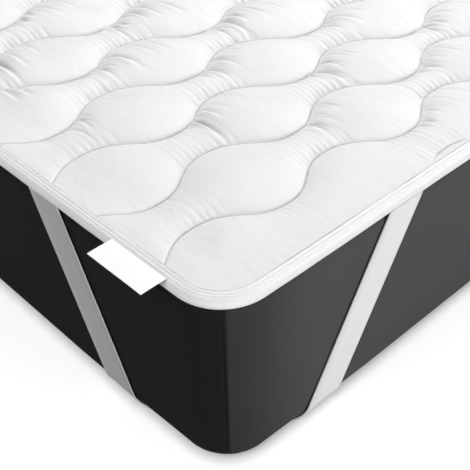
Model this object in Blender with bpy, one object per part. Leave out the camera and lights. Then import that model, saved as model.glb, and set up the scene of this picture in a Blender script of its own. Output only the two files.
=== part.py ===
"""Quilted mattress topper held on a plain mattress by an elastic band round each corner.

Frame: metres, +Z up. The origin is on the floor, under the middle of the mattress. X runs along the
bed, Y runs across it. The end at -X carries the sewn-in label.

Across an edge, "offset" is measured outwards from the mattress's side plane, so it is negative
inside the mattress. "Level" is a height above the mattress's upper face.
"""

import math

import bmesh
import bpy
from mathutils import Vector

# Clearance that touching pieces keep
GAP = 0.0003

# Edges that turn more than this are shaded as creases
SHARP_ANGLE = math.radians(40)

# Mattress
MATTRESS_LENGTH = 2.000
MATTRESS_WIDTH = 0.900
MATTRESS_HEIGHT = 0.200
MATTRESS_CORNER_RADIUS = 0.050
MATTRESS_TOP_ROUNDING = 0.012
MATTRESS_FOOT_ROUNDING = 0.015
CORNER_SEGMENTS = 6
TOP_SEGMENTS = 3
FOOT_SEGMENTS = 6

# Edge of the topper: a folded tape over the flattened rim of the pad
EDGE_OVERHANG = 0.004
EDGE_CORNER_RADIUS = 0.052
EDGE_HEIGHT = 0.0106
TAPE_THICKNESS = 0.0010
TAPE_REACH = 0.0122
TAPE_ROUNDING = 0.0020
RIM_PLAY = 0.0013
RIM_OFFSET = EDGE_OVERHANG - TAPE_THICKNESS - RIM_PLAY
RIM_LOWER_LEVEL = GAP + TAPE_THICKNESS + GAP
RIM_UPPER_LEVEL = GAP + EDGE_HEIGHT - TAPE_THICKNESS - GAP
PAD_OFFSET = EDGE_OVERHANG - TAPE_REACH - GAP

# Quilting: wavy seams that run along the bed, each in step with the one after the next. One more
# seam on each side comes out from under the binding at its crests only.
SEAM_COUNT = 10
FIRST_SEAM = 0.0819
SEAM_SPACING = 0.0795
WAVE_LENGTH = 0.1668
WAVE_HEIGHT = 0.0168
WAVE_SQUARENESS = 0.05
WAVE_START = 0.0590
DRIFT = 0.0668
DRIFT_LENGTH = 1.66
DRIFT_REACH = 0.313
BORDER_SEAM_FADE = 0.012
BORDER_SEAM_START = 0.20
BORDER_SEAM_GROWTH = 0.08

# Thickness of the pad
SEAM_LEVEL = 0.0052
MEAN_CROWN = 0.0115
CROWN_GROWTH = 0.75
ARCH_ROUNDNESS = 0.6
EDGE_RISE = 0.045
EDGE_CROWN_REACH = 0.095

# Grid of the pad's upper side
ROW_FRACTIONS = (0.22, 0.78)
RIM_ROW_FRACTIONS = (0.5,)
RIM_ROW_MARGIN = 0.010
COLUMN_SPACING = 0.0325

# Elastic bands. One row for each corner: which corner it is, then how far from that corner the
# band's middle is at the floor and at the mattress's upper face, on the end and on the long side.
BAND_WIDTH = 0.0412
BAND_THICKNESS = 0.0015
BAND_STAND_OFF = 0.0009
BAND_FOOT_LEVEL = GAP
BAND_SLOT_MARGIN = 0.0015
BAND_SLOT_CLEARANCE = 0.0006
BAND_SLOT_DEPTH = 0.006
BAND_COLUMNS = ("name", "x_sign", "y_sign", "end_foot", "end_top", "side_foot", "side_top")
BAND_TABLE = (
    ("corner_band_label_end_right", -1, -1, 0.1440, 0.2370, 0.1220, 0.2285),
    ("corner_band_label_end_left", -1, 1, 0.1400, 0.2350, 0.1250, 0.2300),
    ("corner_band_far_end_right", 1, -1, 0.1420, 0.2360, 0.1230, 0.2290),
    ("corner_band_far_end_left", 1, 1, 0.1380, 0.2340, 0.1260, 0.2310),
)

# Label, sewn into the end at -X
LABEL_LENGTH = 0.0704
LABEL_NEAR_END = 0.0604
LABEL_INNER_OFFSET = 0.0016
LABEL_OUTER_OFFSET = 0.0280
LABEL_THICKNESS = 0.0010
LABEL_LEVEL = GAP + EDGE_HEIGHT + GAP
LABEL_DROOP = 0.0010
LABEL_STEPS = 4

WHITE_CLOTH = (0.86, 0.86, 0.86, 1.0)
WHITE_TAPE = (0.90, 0.90, 0.90, 1.0)
WHITE_ELASTIC = (0.82, 0.82, 0.82, 1.0)
WHITE_SATIN = (0.92, 0.92, 0.92, 1.0)
CHARCOAL_COVER = (0.045, 0.045, 0.047, 1.0)


def clear_scene():
    for scene_object in list(bpy.data.objects):
        bpy.data.objects.remove(scene_object, do_unlink=True)


def new_collection(name):
    collection = bpy.data.collections.new(name)
    bpy.context.scene.collection.children.link(collection)
    return collection


def cloth_material(name, colour, roughness):
    material = bpy.data.materials.new(name)
    material.use_nodes = True
    shader = material.node_tree.nodes["Principled BSDF"]
    shader.inputs["Base Color"].default_value = colour
    shader.inputs["Roughness"].default_value = roughness
    shader.inputs["Metallic"].default_value = 0.0
    return material


def mesh_object(name, builder, collection, material=None):
    """Turn a bmesh into a named object with its faces pointing outwards."""
    bmesh.ops.recalc_face_normals(builder, faces=builder.faces)
    mesh = bpy.data.meshes.new(name)
    builder.to_mesh(mesh)
    builder.free()
    mesh.shade_smooth()
    mesh.set_sharp_from_angle(angle=SHARP_ANGLE)
    piece = bpy.data.objects.new(name, mesh)
    collection.objects.link(piece)
    if material is not None:
        mesh.materials.append(material)
    return piece


def smooth_step(share):
    share = min(max(share, 0.0), 1.0)
    return share * share * (3.0 - 2.0 * share)


# Outline of the topper: a rounded rectangle that grows with its offset


def outline_sizes(offset):
    """Half length, half width and corner radius of the outline at an offset."""
    radius = EDGE_CORNER_RADIUS - EDGE_OVERHANG + offset
    return MATTRESS_LENGTH / 2 + offset, MATTRESS_WIDTH / 2 + offset, radius


def half_width_at(x, offset):
    """Half of the outline's width at a place along the bed."""
    half_length, half_width, radius = outline_sizes(offset)
    past = max(abs(x) - (half_length - radius), 0.0)
    return half_width - radius + math.sqrt(max(radius * radius - past * past, 0.0))


def distance_inside(x, y, offset):
    """How far a place lies inside the outline."""
    half_length, half_width, radius = outline_sizes(offset)
    past_x = abs(x) - (half_length - radius)
    past_y = abs(y) - (half_width - radius)
    outside = math.hypot(max(past_x, 0.0), max(past_y, 0.0))
    return radius - outside - min(max(past_x, past_y), 0.0)


def outward_at(x, y, offset):
    """Direction in plan that points straight out of the outline."""
    half_length, half_width, radius = outline_sizes(offset)
    past_x = max(abs(x) - (half_length - radius), 0.0)
    past_y = max(abs(y) - (half_width - radius), 0.0)
    return Vector((math.copysign(past_x, x), math.copysign(past_y, y), 0.0)).normalized()


def outline_corner_points(offset):
    """Points of the outline: the corners' arcs, which the straight sides join."""
    half_length, half_width, radius = outline_sizes(offset)
    corners = ((1, 1, 0), (-1, 1, 90), (-1, -1, 180), (1, -1, 270))
    points = []
    for x_sign, y_sign, start in corners:
        centre_x = x_sign * (half_length - radius)
        centre_y = y_sign * (half_width - radius)
        for step in range(CORNER_SEGMENTS + 1):
            angle = math.radians(start + 90 * step / CORNER_SEGMENTS)
            points.append((centre_x + radius * math.cos(angle), centre_y + radius * math.sin(angle)))
    return points


# Quilted pad


def seam_y(index, x):
    """Where a quilting seam lies across the bed, at a place along it."""
    middle = -MATTRESS_WIDTH / 2 + FIRST_SEAM + index * SEAM_SPACING
    from_edge = MATTRESS_WIDTH / 2 - abs(middle)
    along = x + MATTRESS_LENGTH / 2
    bow = math.sin(math.pi * min(along / DRIFT_LENGTH, 1.0)) ** 2
    drift = DRIFT * smooth_step(from_edge / DRIFT_REACH) * bow
    turn = 2 * math.pi * (along - WAVE_START) / WAVE_LENGTH
    wave = math.cos(turn) - WAVE_SQUARENESS * math.cos(3 * turn)
    return middle - drift + WAVE_HEIGHT * wave * (-1) ** index


def column_places():
    """Where the pad's grid columns lie: close together round the corners, evenly between them."""
    half_length, _, radius = outline_sizes(PAD_OFFSET)
    curve = [
        -half_length + radius * (1 - math.cos(math.pi / 2 * step / CORNER_SEGMENTS))
        for step in range(CORNER_SEGMENTS + 1)
    ]
    straight = 2 * (half_length - radius)
    count = round(straight / COLUMN_SPACING)
    middle = [curve[-1] + straight * step / count for step in range(1, count)]
    return curve + middle + [-place for place in reversed(curve)]


def row_places(x):
    """Where the grid rows lie across the bed at a column: on the seams, and between them."""
    edge = half_width_at(x, PAD_OFFSET)
    lowest, highest = -edge + RIM_ROW_MARGIN, edge - RIM_ROW_MARGIN
    seams = [min(max(seam_y(index, x), lowest), highest) for index in range(-1, SEAM_COUNT + 1)]
    bounds = [-edge] + seams + [edge]
    rows = []
    for low, high in zip(bounds[:-1], bounds[1:]):
        at_rim = low == bounds[0] or high == bounds[-1]
        fractions = RIM_ROW_FRACTIONS if at_rim else ROW_FRACTIONS
        rows.append(low)
        rows.extend(low + share * (high - low) for share in fractions)
    return rows + [edge]


def arch_between(y, low, high):
    """Height of the crown at a place between two seams. It is the higher, the further they are apart."""
    share = min(max((y - low) / (high - low), 0.0), 1.0)
    crown = MEAN_CROWN * ((high - low) / SEAM_SPACING) ** CROWN_GROWTH
    return crown * math.sin(math.pi * share) ** ARCH_ROUNDNESS


def crown_at(x, y):
    """Height of the crown at any place. A seam at the border counts by its depth inside the edge."""
    edge = half_width_at(x, PAD_OFFSET)
    seams = [seam_y(index, x) for index in range(SEAM_COUNT)]
    for low, high in zip(seams[:-1], seams[1:]):
        if low <= y <= high:
            return arch_between(y, low, high)
    in_front = y < seams[0]
    border = seam_y(-1 if in_front else SEAM_COUNT, x)
    low, high = (-edge, seams[0]) if in_front else (seams[-1], edge)
    plain = arch_between(y, low, high)
    depth = edge - abs(border)
    if depth <= 0.0:
        return plain
    stitched = arch_between(y, low, border) if y < border else arch_between(y, border, high)
    along = MATTRESS_LENGTH / 2 - abs(x)
    grown = smooth_step((along - BORDER_SEAM_START) / BORDER_SEAM_GROWTH)
    return plain + grown * smooth_step(depth / BORDER_SEAM_FADE) * (stitched - plain)


def pad_level(x, y):
    """Level of the pad's upper side, which arches between the seams and flattens at the edge."""
    inside = distance_inside(x, y, PAD_OFFSET)
    base = RIM_UPPER_LEVEL + (SEAM_LEVEL - RIM_UPPER_LEVEL) * smooth_step(inside / EDGE_RISE)
    kept = math.sin(math.pi / 2 * min(max(inside / EDGE_CROWN_REACH, 0.0), 1.0))
    return base + crown_at(x, y) * kept


def extrude_rim(builder, move):
    """Extrude the open edge of the pad and move its new points."""
    rim = [edge for edge in builder.edges if edge.is_boundary]
    made = bmesh.ops.extrude_edge_only(builder, edges=rim)["geom"]
    for vert in made:
        if isinstance(vert, bmesh.types.BMVert):
            vert.co = move(vert.co)


def build_pad(collection):
    columns = column_places()
    rows_at = [row_places(x) for x in columns]
    last_column = len(columns) - 1
    last_row = len(rows_at[0]) - 1
    builder = bmesh.new()
    bmesh.ops.create_grid(builder, x_segments=last_column, y_segments=last_row, size=1.0)
    for vert in builder.verts:
        column = round((vert.co.x + 1.0) / 2.0 * last_column)
        row = round((vert.co.y + 1.0) / 2.0 * last_row)
        x, y = columns[column], rows_at[column][row]
        vert.co = (x, y, MATTRESS_HEIGHT + pad_level(x, y))

    def shifted(point, offset_change, level):
        moved = point + outward_at(point.x, point.y, PAD_OFFSET) * offset_change
        moved.z = MATTRESS_HEIGHT + level
        return moved

    rim_width = RIM_OFFSET - PAD_OFFSET
    extrude_rim(builder, lambda point: shifted(point, rim_width, RIM_UPPER_LEVEL))
    extrude_rim(builder, lambda point: shifted(point, 0.0, RIM_LOWER_LEVEL))
    extrude_rim(builder, lambda point: shifted(point, -rim_width, RIM_LOWER_LEVEL))
    extrude_rim(builder, lambda point: shifted(point, 0.0, GAP))
    underside = [edge for edge in builder.edges if edge.is_boundary]
    bmesh.ops.holes_fill(builder, edges=underside, sides=0)
    cloth = cloth_material("pad_cloth", WHITE_CLOTH, 0.85)
    return mesh_object("quilted_pad", builder, collection, cloth)


# Edge binding


def tape_profile():
    """Outline of the folded tape's section: (offset, level) up its inside, then down its outer side."""
    outer, inner = EDGE_OVERHANG, EDGE_OVERHANG - TAPE_REACH
    low, high = GAP, GAP + EDGE_HEIGHT
    soft, wall = TAPE_ROUNDING, TAPE_THICKNESS
    half_soft = soft * (1 - math.sqrt(0.5))
    outside = [
        (inner, low),
        (outer - soft, low),
        (outer - half_soft, low + half_soft),
        (outer, low + soft),
        (outer, high - soft),
        (outer - half_soft, high - half_soft),
        (outer - soft, high),
        (inner, high),
    ]
    inside = [
        (inner, high - wall),
        (outer - soft, high - wall),
        (outer - wall, high - soft),
        (outer - wall, low + soft),
        (outer - soft, low + wall),
        (inner, low + wall),
    ]
    return list(reversed(outside + inside))


def closed_poly_curve(name, points, dimensions, collection):
    curve = bpy.data.curves.new(name, "CURVE")
    curve.dimensions = dimensions
    spline = curve.splines.new("POLY")
    spline.points.add(len(points) - 1)
    for target, (first, second) in zip(spline.points, points):
        target.co = (first, second, 0.0, 1.0)
    spline.use_cyclic_u = True
    curve_object = bpy.data.objects.new(name, curve)
    collection.objects.link(curve_object)
    return curve_object


def build_binding(collection, helpers):
    profile = closed_poly_curve("tape_section", tape_profile(), "2D", helpers)
    profile.hide_render = True
    profile.display_type = "WIRE"
    binding = closed_poly_curve("edge_binding", outline_corner_points(0.0), "3D", collection)
    binding.data.twist_mode = "Z_UP"
    binding.data.bevel_mode = "OBJECT"
    binding.data.bevel_object = profile
    binding.location.z = MATTRESS_HEIGHT
    binding.data.materials.append(cloth_material("binding_tape", WHITE_TAPE, 0.8))
    return binding


# Corner bands


def loft(name, sections, collection, material=None):
    """Closed solid through a row of four-cornered sections."""
    builder = bmesh.new()
    rings = [[builder.verts.new(point) for point in section] for section in sections]
    for ring, following in zip(rings[:-1], rings[1:]):
        for corner in range(4):
            after = (corner + 1) % 4
            builder.faces.new((ring[corner], ring[after], following[after], following[corner]))
    builder.faces.new(rings[0])
    builder.faces.new(rings[-1])
    bmesh.ops.triangulate(builder, faces=builder.faces)
    return mesh_object(name, builder, collection, material)


def foot_stations(foot, top, end_slope, turns):
    """Stations round the mattress's lower edge, at these angles from its side face.

    Each is (turn, height of the rounding's centre, middle of the band from the corner, half width).
    The band slants towards the corner, and its slant grows to end_slope under the mattress.
    """
    radius = MATTRESS_FOOT_ROUNDING
    slope = (top - foot) / MATTRESS_HEIGHT
    stations = []
    for turn in turns:
        growth = (end_slope - slope) * turn * turn / math.pi
        middle = foot + slope * radius - radius * (slope * turn + growth)
        here = slope + (end_slope - slope) * turn / (math.pi / 2)
        stations.append((turn, radius, middle, BAND_WIDTH / 2 * math.hypot(1.0, here)))
    return stations


def face_stations(foot, top):
    """Stations down the straight part of one face of the mattress."""
    slope = (top - foot) / MATTRESS_HEIGHT
    half = BAND_WIDTH / 2 * math.hypot(1.0, slope)
    heights = (MATTRESS_HEIGHT - GAP, (MATTRESS_HEIGHT + MATTRESS_FOOT_ROUNDING) / 2)
    return [(0.0, height, foot + slope * height, half) for height in heights]


def under_slope(band):
    """Slant of the band's straight run under the mattress, from its end face to its side face."""
    radius = MATTRESS_FOOT_ROUNDING
    quarter = radius * math.pi / 4
    end_slant = (band["end_top"] - band["end_foot"]) / MATTRESS_HEIGHT
    side_slant = (band["side_top"] - band["side_foot"]) / MATTRESS_HEIGHT
    rise = band["end_foot"] + end_slant * radius - radius + quarter * (1 - end_slant)
    run = band["side_foot"] + side_slant * radius - radius + quarter * (1 - side_slant)
    return rise / run


def band_section(band, station, on_end, inner_offsets, thickness, margin):
    """Four corners of a section of the band, or of its slot, at a station.

    inner_offsets are how far the inner side stands off the mattress on its faces and under it.
    """
    turn, height, middle, half = station
    inner = inner_offsets[0] + (inner_offsets[1] - inner_offsets[0]) * turn / (math.pi / 2)
    corners = []
    for offset, side in ((inner, -1), (inner, 1), (inner + thickness, 1), (inner + thickness, -1)):
        reach = MATTRESS_FOOT_ROUNDING + offset
        inwards = MATTRESS_FOOT_ROUNDING - reach * math.cos(turn)
        along = middle + side * (half + margin)
        from_end, from_side = (inwards, along) if on_end else (along, inwards)
        x = band["x_sign"] * (MATTRESS_LENGTH / 2 - from_end)
        y = band["y_sign"] * (MATTRESS_WIDTH / 2 - from_side)
        corners.append(Vector((x, y, height - reach * math.sin(turn))))
    return corners


def band_piece_sections(band):
    """Sections of a band from the end face, round and under the corner, to the side face."""
    offsets = (BAND_STAND_OFF, -(BAND_FOOT_LEVEL + BAND_THICKNESS))
    turns = [math.pi / 2 * step / FOOT_SEGMENTS for step in range(FOOT_SEGMENTS + 1)]
    slant = under_slope(band)
    sections = []
    for face, on_end, end_slope in (("end", True, slant), ("side", False, 1 / slant)):
        foot, top = band[face + "_foot"], band[face + "_top"]
        stations = face_stations(foot, top) + foot_stations(foot, top, end_slope, turns)
        run = [band_section(band, station, on_end, offsets, BAND_THICKNESS, 0.0) for station in stations]
        sections.extend(run if on_end else reversed(run))
    return sections


def slot_sections(band):
    """Sections of the shallow slot that the mattress is pressed into where the band runs under it.

    Its stations lie halfway between the rounding's own edges.
    """
    offsets = (
        BAND_STAND_OFF - BAND_SLOT_CLEARANCE,
        -(BAND_FOOT_LEVEL + BAND_THICKNESS + BAND_SLOT_CLEARANCE),
    )
    turns = [0.0] + [math.pi / 2 * (step + 0.5) / FOOT_SEGMENTS for step in range(FOOT_SEGMENTS)]
    slant = under_slope(band)
    sections = []
    for face, on_end, end_slope in (("end", True, slant), ("side", False, 1 / slant)):
        stations = foot_stations(band[face + "_foot"], band[face + "_top"], end_slope, turns)
        run = [
            band_section(band, station, on_end, offsets, BAND_SLOT_DEPTH, BAND_SLOT_MARGIN)
            for station in stations
        ]
        sections.extend(run if on_end else reversed(run))
    return sections


def build_band(band, collection, helpers, mattress):
    material = cloth_material(band["name"], WHITE_ELASTIC, 0.75)
    piece = loft(band["name"], band_piece_sections(band), collection, material)
    slot = loft(band["name"] + "_slot", slot_sections(band), helpers)
    slot.hide_render = True
    slot.display_type = "WIRE"
    cut = mattress.modifiers.new(slot.name, "BOOLEAN")
    cut.operation = "DIFFERENCE"
    cut.object = slot
    return piece


# Mattress


def build_mattress(collection):
    builder = bmesh.new()
    bmesh.ops.create_cube(builder, size=1.0)
    for vert in builder.verts:
        vert.co.x *= MATTRESS_LENGTH
        vert.co.y *= MATTRESS_WIDTH
        vert.co.z = (vert.co.z + 0.5) * MATTRESS_HEIGHT
    upright = [edge for edge in builder.edges if abs(edge.verts[0].co.z - edge.verts[1].co.z) > GAP]
    rounding = {"offset_type": "OFFSET", "profile": 0.5, "affect": "EDGES"}
    bmesh.ops.bevel(
        builder, geom=upright, offset=MATTRESS_CORNER_RADIUS, segments=CORNER_SEGMENTS, **rounding
    )
    for height, radius, segments in (
        (MATTRESS_HEIGHT, MATTRESS_TOP_ROUNDING, TOP_SEGMENTS),
        (0.0, MATTRESS_FOOT_ROUNDING, FOOT_SEGMENTS),
    ):
        rim = [edge for edge in builder.edges if all(abs(vert.co.z - height) < GAP for vert in edge.verts)]
        bmesh.ops.bevel(builder, geom=rim, offset=radius, segments=segments, **rounding)
    bmesh.ops.triangulate(builder, faces=builder.faces)
    cover = cloth_material("mattress_cover", CHARCOAL_COVER, 0.7)
    return mesh_object("mattress", builder, collection, cover)


# Label


def build_label(collection):
    """A short ribbon that sticks out over the binding and droops a little."""
    near = -MATTRESS_WIDTH / 2 + LABEL_NEAR_END
    far = near + LABEL_LENGTH
    sections = []
    for step in range(LABEL_STEPS + 1):
        share = step / LABEL_STEPS
        offset = LABEL_INNER_OFFSET + share * (LABEL_OUTER_OFFSET - LABEL_INNER_OFFSET)
        x = -MATTRESS_LENGTH / 2 - offset
        low = MATTRESS_HEIGHT + LABEL_LEVEL - LABEL_DROOP * max(share - 1 / LABEL_STEPS, 0.0) ** 2
        high = low + LABEL_THICKNESS
        corners = ((near, low), (far, low), (far, high), (near, high))
        sections.append([Vector((x, y, z)) for y, z in corners])
    return loft("label", sections, collection, cloth_material("label_satin", WHITE_SATIN, 0.45))


def main():
    clear_scene()
    topper = new_collection("mattress topper on mattress")
    helpers = new_collection("cutters")
    mattress = build_mattress(topper)
    build_pad(topper)
    build_binding(topper, helpers)
    for row in BAND_TABLE:
        build_band(dict(zip(BAND_COLUMNS, row)), topper, helpers, mattress)
    build_label(topper)


main()
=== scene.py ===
"""Quilted mattress topper, held on a plain dark mattress by an elastic band round each corner.

Frame: metres, +Z up. The origin is on the floor, under the middle of the mattress. X runs along the
bed, Y across it. Across an edge, an "offset" is measured outwards from the mattress's side plane,
and a "level" is a height above the mattress's upper face. The near corner is at -X and -Y.
"""

from __future__ import annotations

import logging
import math
from dataclasses import dataclass
from enum import Enum
from typing import NamedTuple

import bpy
import numpy as np
from mathutils import Matrix, Vector


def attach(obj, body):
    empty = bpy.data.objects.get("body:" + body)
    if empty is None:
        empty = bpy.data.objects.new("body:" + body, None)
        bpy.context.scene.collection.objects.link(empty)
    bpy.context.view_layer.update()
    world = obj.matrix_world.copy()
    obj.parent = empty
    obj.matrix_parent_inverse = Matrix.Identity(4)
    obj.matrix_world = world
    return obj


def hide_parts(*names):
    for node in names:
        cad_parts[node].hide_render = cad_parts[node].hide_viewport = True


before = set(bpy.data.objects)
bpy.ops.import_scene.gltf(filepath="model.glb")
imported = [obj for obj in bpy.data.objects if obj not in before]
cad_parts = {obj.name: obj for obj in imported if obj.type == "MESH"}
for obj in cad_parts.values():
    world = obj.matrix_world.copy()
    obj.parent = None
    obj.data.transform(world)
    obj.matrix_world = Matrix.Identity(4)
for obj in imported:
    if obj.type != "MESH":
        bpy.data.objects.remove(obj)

# Short names of types
Faces = list[tuple[int, ...]]
Colour = tuple[float, float, float, float]
Socket = bpy.types.NodeSocket

LOG = logging.getLogger("topper")
BODY = "root"
CLOTH_MAP = "cloth_map"

# Point attributes of painted shade that the finishes read, from 0 to 1
CREASE_SHADE = "crease_shade"
ENDWISE_SHADE = "endwise_shade"
TOP_SHADE = "top_shade"

HALF_LENGTH = 1.000
HALF_WIDTH = 0.450
MATTRESS_HEIGHT = 0.200
TAPE_HEIGHT = 0.0106
# Clearance that touching pieces keep
GAP = 0.0003

# The cover's seam down each corner, in degrees round the corner from the bed's length
CORNER_SEAM_ANGLE = 46.5
SEAM_FACING = math.cos(math.radians(CORNER_SEAM_ANGLE))
# Painted shade of what looks along the bed: most of it grows evenly up to the seam, the rest steps up there
GROWING_SHADE = 0.62
STEPPED_SHADE = 0.38
STEP_LEAD = 0.012
STEP_WIDTH = 0.02

BLACK = (0.0, 0.0, 0.0, 1.0)
WHITE = (1.0, 1.0, 1.0, 1.0)


class Slot(Enum):
    """Material slots of the record."""

    COVER = "mattress_cover"
    PAD = "pad_cloth"
    TAPE = "binding_tape"
    ELASTIC = "elastic_band"
    SATIN = "label_satin"


# Shared arithmetic


def smooth_step(share: np.ndarray | float) -> np.ndarray:
    """Rise from 0 to 1 with level ends.

    Args:
        share: Place along the rise, clipped to 0 and 1.

    Returns:
        The height at that place.
    """
    share = np.clip(share, 0.0, 1.0)
    return share * share * (3.0 - 2.0 * share)


def hump(distance: np.ndarray, width: float) -> np.ndarray:
    """Round ridge of height 1.

    Args:
        distance: Distances from the ridge's line.
        width: Half width of the ridge.

    Returns:
        The ridge's height at each distance.
    """
    return np.exp(-((distance / width) ** 2))


def crease(distance: np.ndarray, width: float, lean: float, roundness: float = 0.3) -> np.ndarray:
    """Valley of depth 1 with a narrow bottom and walls that level off.

    Args:
        distance: Distances from the valley's line.
        width: How wide its walls are.
        lean: How much wider the wall on the positive side is, as a share.
        roundness: How wide its bottom is, as a share of the walls.

    Returns:
        The valley's depth at each distance.
    """
    wall = width * (1.0 + lean * np.sign(distance))
    return np.exp(roundness - np.sqrt((distance / wall) ** 2 + roundness**2))


def waves(along: np.ndarray, *table: tuple[float, float, float]) -> np.ndarray:
    """Sum of sine waves.

    Args:
        along: Places.
        table: Height, radians for each unit of length, and start of each wave.

    Returns:
        The sum at each place.
    """
    return sum(height * np.sin(along * pace + start) for height, pace, start in table)


def graded(count: int, grading: float) -> np.ndarray:
    """Shares from 0 to 1 that lie closer together at both ends.

    Args:
        count: How many steps there are.
        grading: 0 for even steps, 1 for a cosine's.

    Returns:
        The count + 1 shares.
    """
    even = np.linspace(0.0, 1.0, count + 1)
    return (1.0 - grading) * even + grading * (0.5 - 0.5 * np.cos(np.pi * even))


def unit(vectors: np.ndarray) -> np.ndarray:
    """Vectors of length 1 in the same directions."""
    return vectors / np.linalg.norm(vectors, axis=-1, keepdims=True)


def walked(points: np.ndarray) -> np.ndarray:
    """Distance along a line of points, from the first of them to each.

    Args:
        points: The points, one to a row.

    Returns:
        The distances, from 0.
    """
    steps = np.linalg.norm(np.diff(points, axis=0), axis=1)
    return np.concatenate([[0.0], np.cumsum(steps)])


# Meshes


def lofted(sections: np.ndarray, closed_run: bool = False) -> tuple[np.ndarray, Faces]:
    """Closed solid through a run of closed sections.

    Args:
        sections: Points, as run by section by 3.
        closed_run: Whether the last section joins the first, as on a ring.

    Returns:
        The points, and the faces as tuples of their indices.
    """
    run, around, _ = sections.shape
    here = np.arange(run * around).reshape(run, around)
    if closed_run:
        there = np.roll(here, -1, axis=0)
        ends = []
    else:
        ends = [tuple(reversed(here[0].tolist())), tuple(here[-1].tolist())]
        here, there = here[:-1], here[1:]
    quads = np.stack([here, np.roll(here, -1, axis=1), np.roll(there, -1, axis=1), there], axis=-1)
    faces = [tuple(quad) for quad in quads.reshape(-1, 4).tolist()]
    return sections.reshape(-1, 3), faces + ends


def add_mesh(name: str, points: np.ndarray, faces: Faces, sharp_angle: float) -> bpy.types.Object:
    """Put a mesh of these points and faces in the scene, with its faces turned outwards.

    Args:
        name: The piece's name.
        points: Its points, in the shared frame.
        faces: Its faces, as indices into the points.
        sharp_angle: Edges that turn by more degrees than this are shaded as creases.

    Returns:
        The new object, at the origin.
    """
    mesh = bpy.data.meshes.new(name)
    mesh.from_pydata(points.tolist(), [], faces)
    piece = bpy.data.objects.new(name, mesh)
    bpy.context.scene.collection.objects.link(piece)
    turn_outwards(piece)
    mesh.shade_smooth()
    mesh.set_sharp_from_angle(angle=math.radians(sharp_angle))
    return piece


def choose(piece: bpy.types.Object) -> None:
    """Make a piece the only selected object, and the active one.

    Args:
        piece: The piece.
    """
    bpy.ops.object.select_all(action="DESELECT")
    piece.select_set(True)
    bpy.context.view_layer.objects.active = piece


def turn_outwards(piece: bpy.types.Object) -> None:
    """Recalculate a closed piece's normals, so that its faces point outwards.

    Args:
        piece: The piece.
    """
    choose(piece)
    bpy.ops.object.mode_set(mode="EDIT")
    bpy.ops.mesh.select_all(action="SELECT")
    bpy.ops.mesh.normals_make_consistent(inside=False)
    bpy.ops.object.mode_set(mode="OBJECT")


def lay_map(piece: bpy.types.Object, along: np.ndarray, across: np.ndarray) -> None:
    """Give a piece a map in metres, along its cloth and across it.

    Args:
        piece: The piece.
        along: Distance along the cloth, for each point of the mesh.
        across: Distance across the cloth, for each point of the mesh.
    """
    mesh = piece.data
    layer = mesh.uv_layers.new(name=CLOTH_MAP)
    corners = np.empty(len(mesh.loops), dtype=np.int32)
    mesh.loops.foreach_get("vertex_index", corners)
    layer.data.foreach_set("uv", np.stack([along[corners], across[corners]], axis=-1).ravel())


def dress(
    piece: bpy.types.Object,
    finish: bpy.types.Material,
    slot: Slot,
    *nodes: str,
    facing: np.ndarray | None = None,
) -> bpy.types.Object:
    """Give a piece its finish, its painted shade and its place in the frame.

    Args:
        piece: The finished piece.
        finish: Its material.
        slot: The record's slot that the finish belongs to. Not used.
        nodes: CAD nodes that the piece stands for.
        facing: Direction that each point looks in for its painted shade, where it isn't the mesh's normal.

    Returns:
        The same piece.
    """
    mark_facing(piece, facing)
    piece.data.materials.clear()
    piece.data.materials.append(finish)
    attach(piece, BODY)
    if nodes:
        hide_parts(*nodes)
    LOG.info("%s: %d faces", piece.name, len(piece.data.polygons))
    return piece


# Outline of the topper and of the mattress


@dataclass(frozen=True)
class Outline:
    """Rounded rectangle that grows with its offset from the mattress's side planes."""

    corner_radius: float
    half_length: float = HALF_LENGTH
    half_width: float = HALF_WIDTH

    def half_width_at(self, x: np.ndarray, offset: float) -> np.ndarray:
        """Half of the outline's width at places along the bed.

        Args:
            x: Places along the bed.
            offset: Which outline.

        Returns:
            Half widths.
        """
        radius = self.corner_radius + offset
        past = np.maximum(np.abs(x) - (self.half_length - self.corner_radius), 0.0)
        curve = np.sqrt(np.maximum(radius * radius - past * past, 0.0))
        return self.half_width - self.corner_radius + curve

    def depth_inside(self, x: np.ndarray, y: np.ndarray, offset: float) -> np.ndarray:
        """How far places lie inside the outline.

        Args:
            x: Places along the bed.
            y: Places across the bed.
            offset: Which outline.

        Returns:
            Distances to the outline, positive inside it.
        """
        past_x = np.abs(x) - (self.half_length - self.corner_radius)
        past_y = np.abs(y) - (self.half_width - self.corner_radius)
        outside = np.hypot(np.maximum(past_x, 0.0), np.maximum(past_y, 0.0))
        return self.corner_radius + offset - outside - np.minimum(np.maximum(past_x, past_y), 0.0)

    def walk(self, spacing: float, corner_steps: int) -> tuple[np.ndarray, np.ndarray]:
        """Stations round the outline, anticlockwise from where the +X end meets the +Y corner.

        Args:
            spacing: Distance between stations on the straight sides.
            corner_steps: Steps round each corner.

        Returns:
            The points at offset 0, and the outward directions there.
        """
        points: list[np.ndarray] = []
        directions: list[np.ndarray] = []
        corners = ((1, 1, 0), (-1, 1, 90), (-1, -1, 180), (1, -1, 270))
        centre_x = self.half_length - self.corner_radius
        centre_y = self.half_width - self.corner_radius
        for x_sign, y_sign, start in corners:
            centre = np.array([x_sign * centre_x, y_sign * centre_y])
            for step in range(corner_steps + 1):
                angle = math.radians(start + 90 * step / corner_steps)
                direction = np.array([math.cos(angle), math.sin(angle)])
                points.append(centre + self.corner_radius * direction)
                directions.append(direction)
            straight = 2 * (centre_y if start in (90, 270) else centre_x)
            along = np.array([-directions[-1][1], directions[-1][0]])
            corner_end, facing = points[-1], directions[-1]
            count = round(straight / spacing)
            for step in range(1, count):
                points.append(corner_end + along * straight * step / count)
                directions.append(facing)
        return np.array(points), np.array(directions)


# Node helper and shared shader groups


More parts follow.
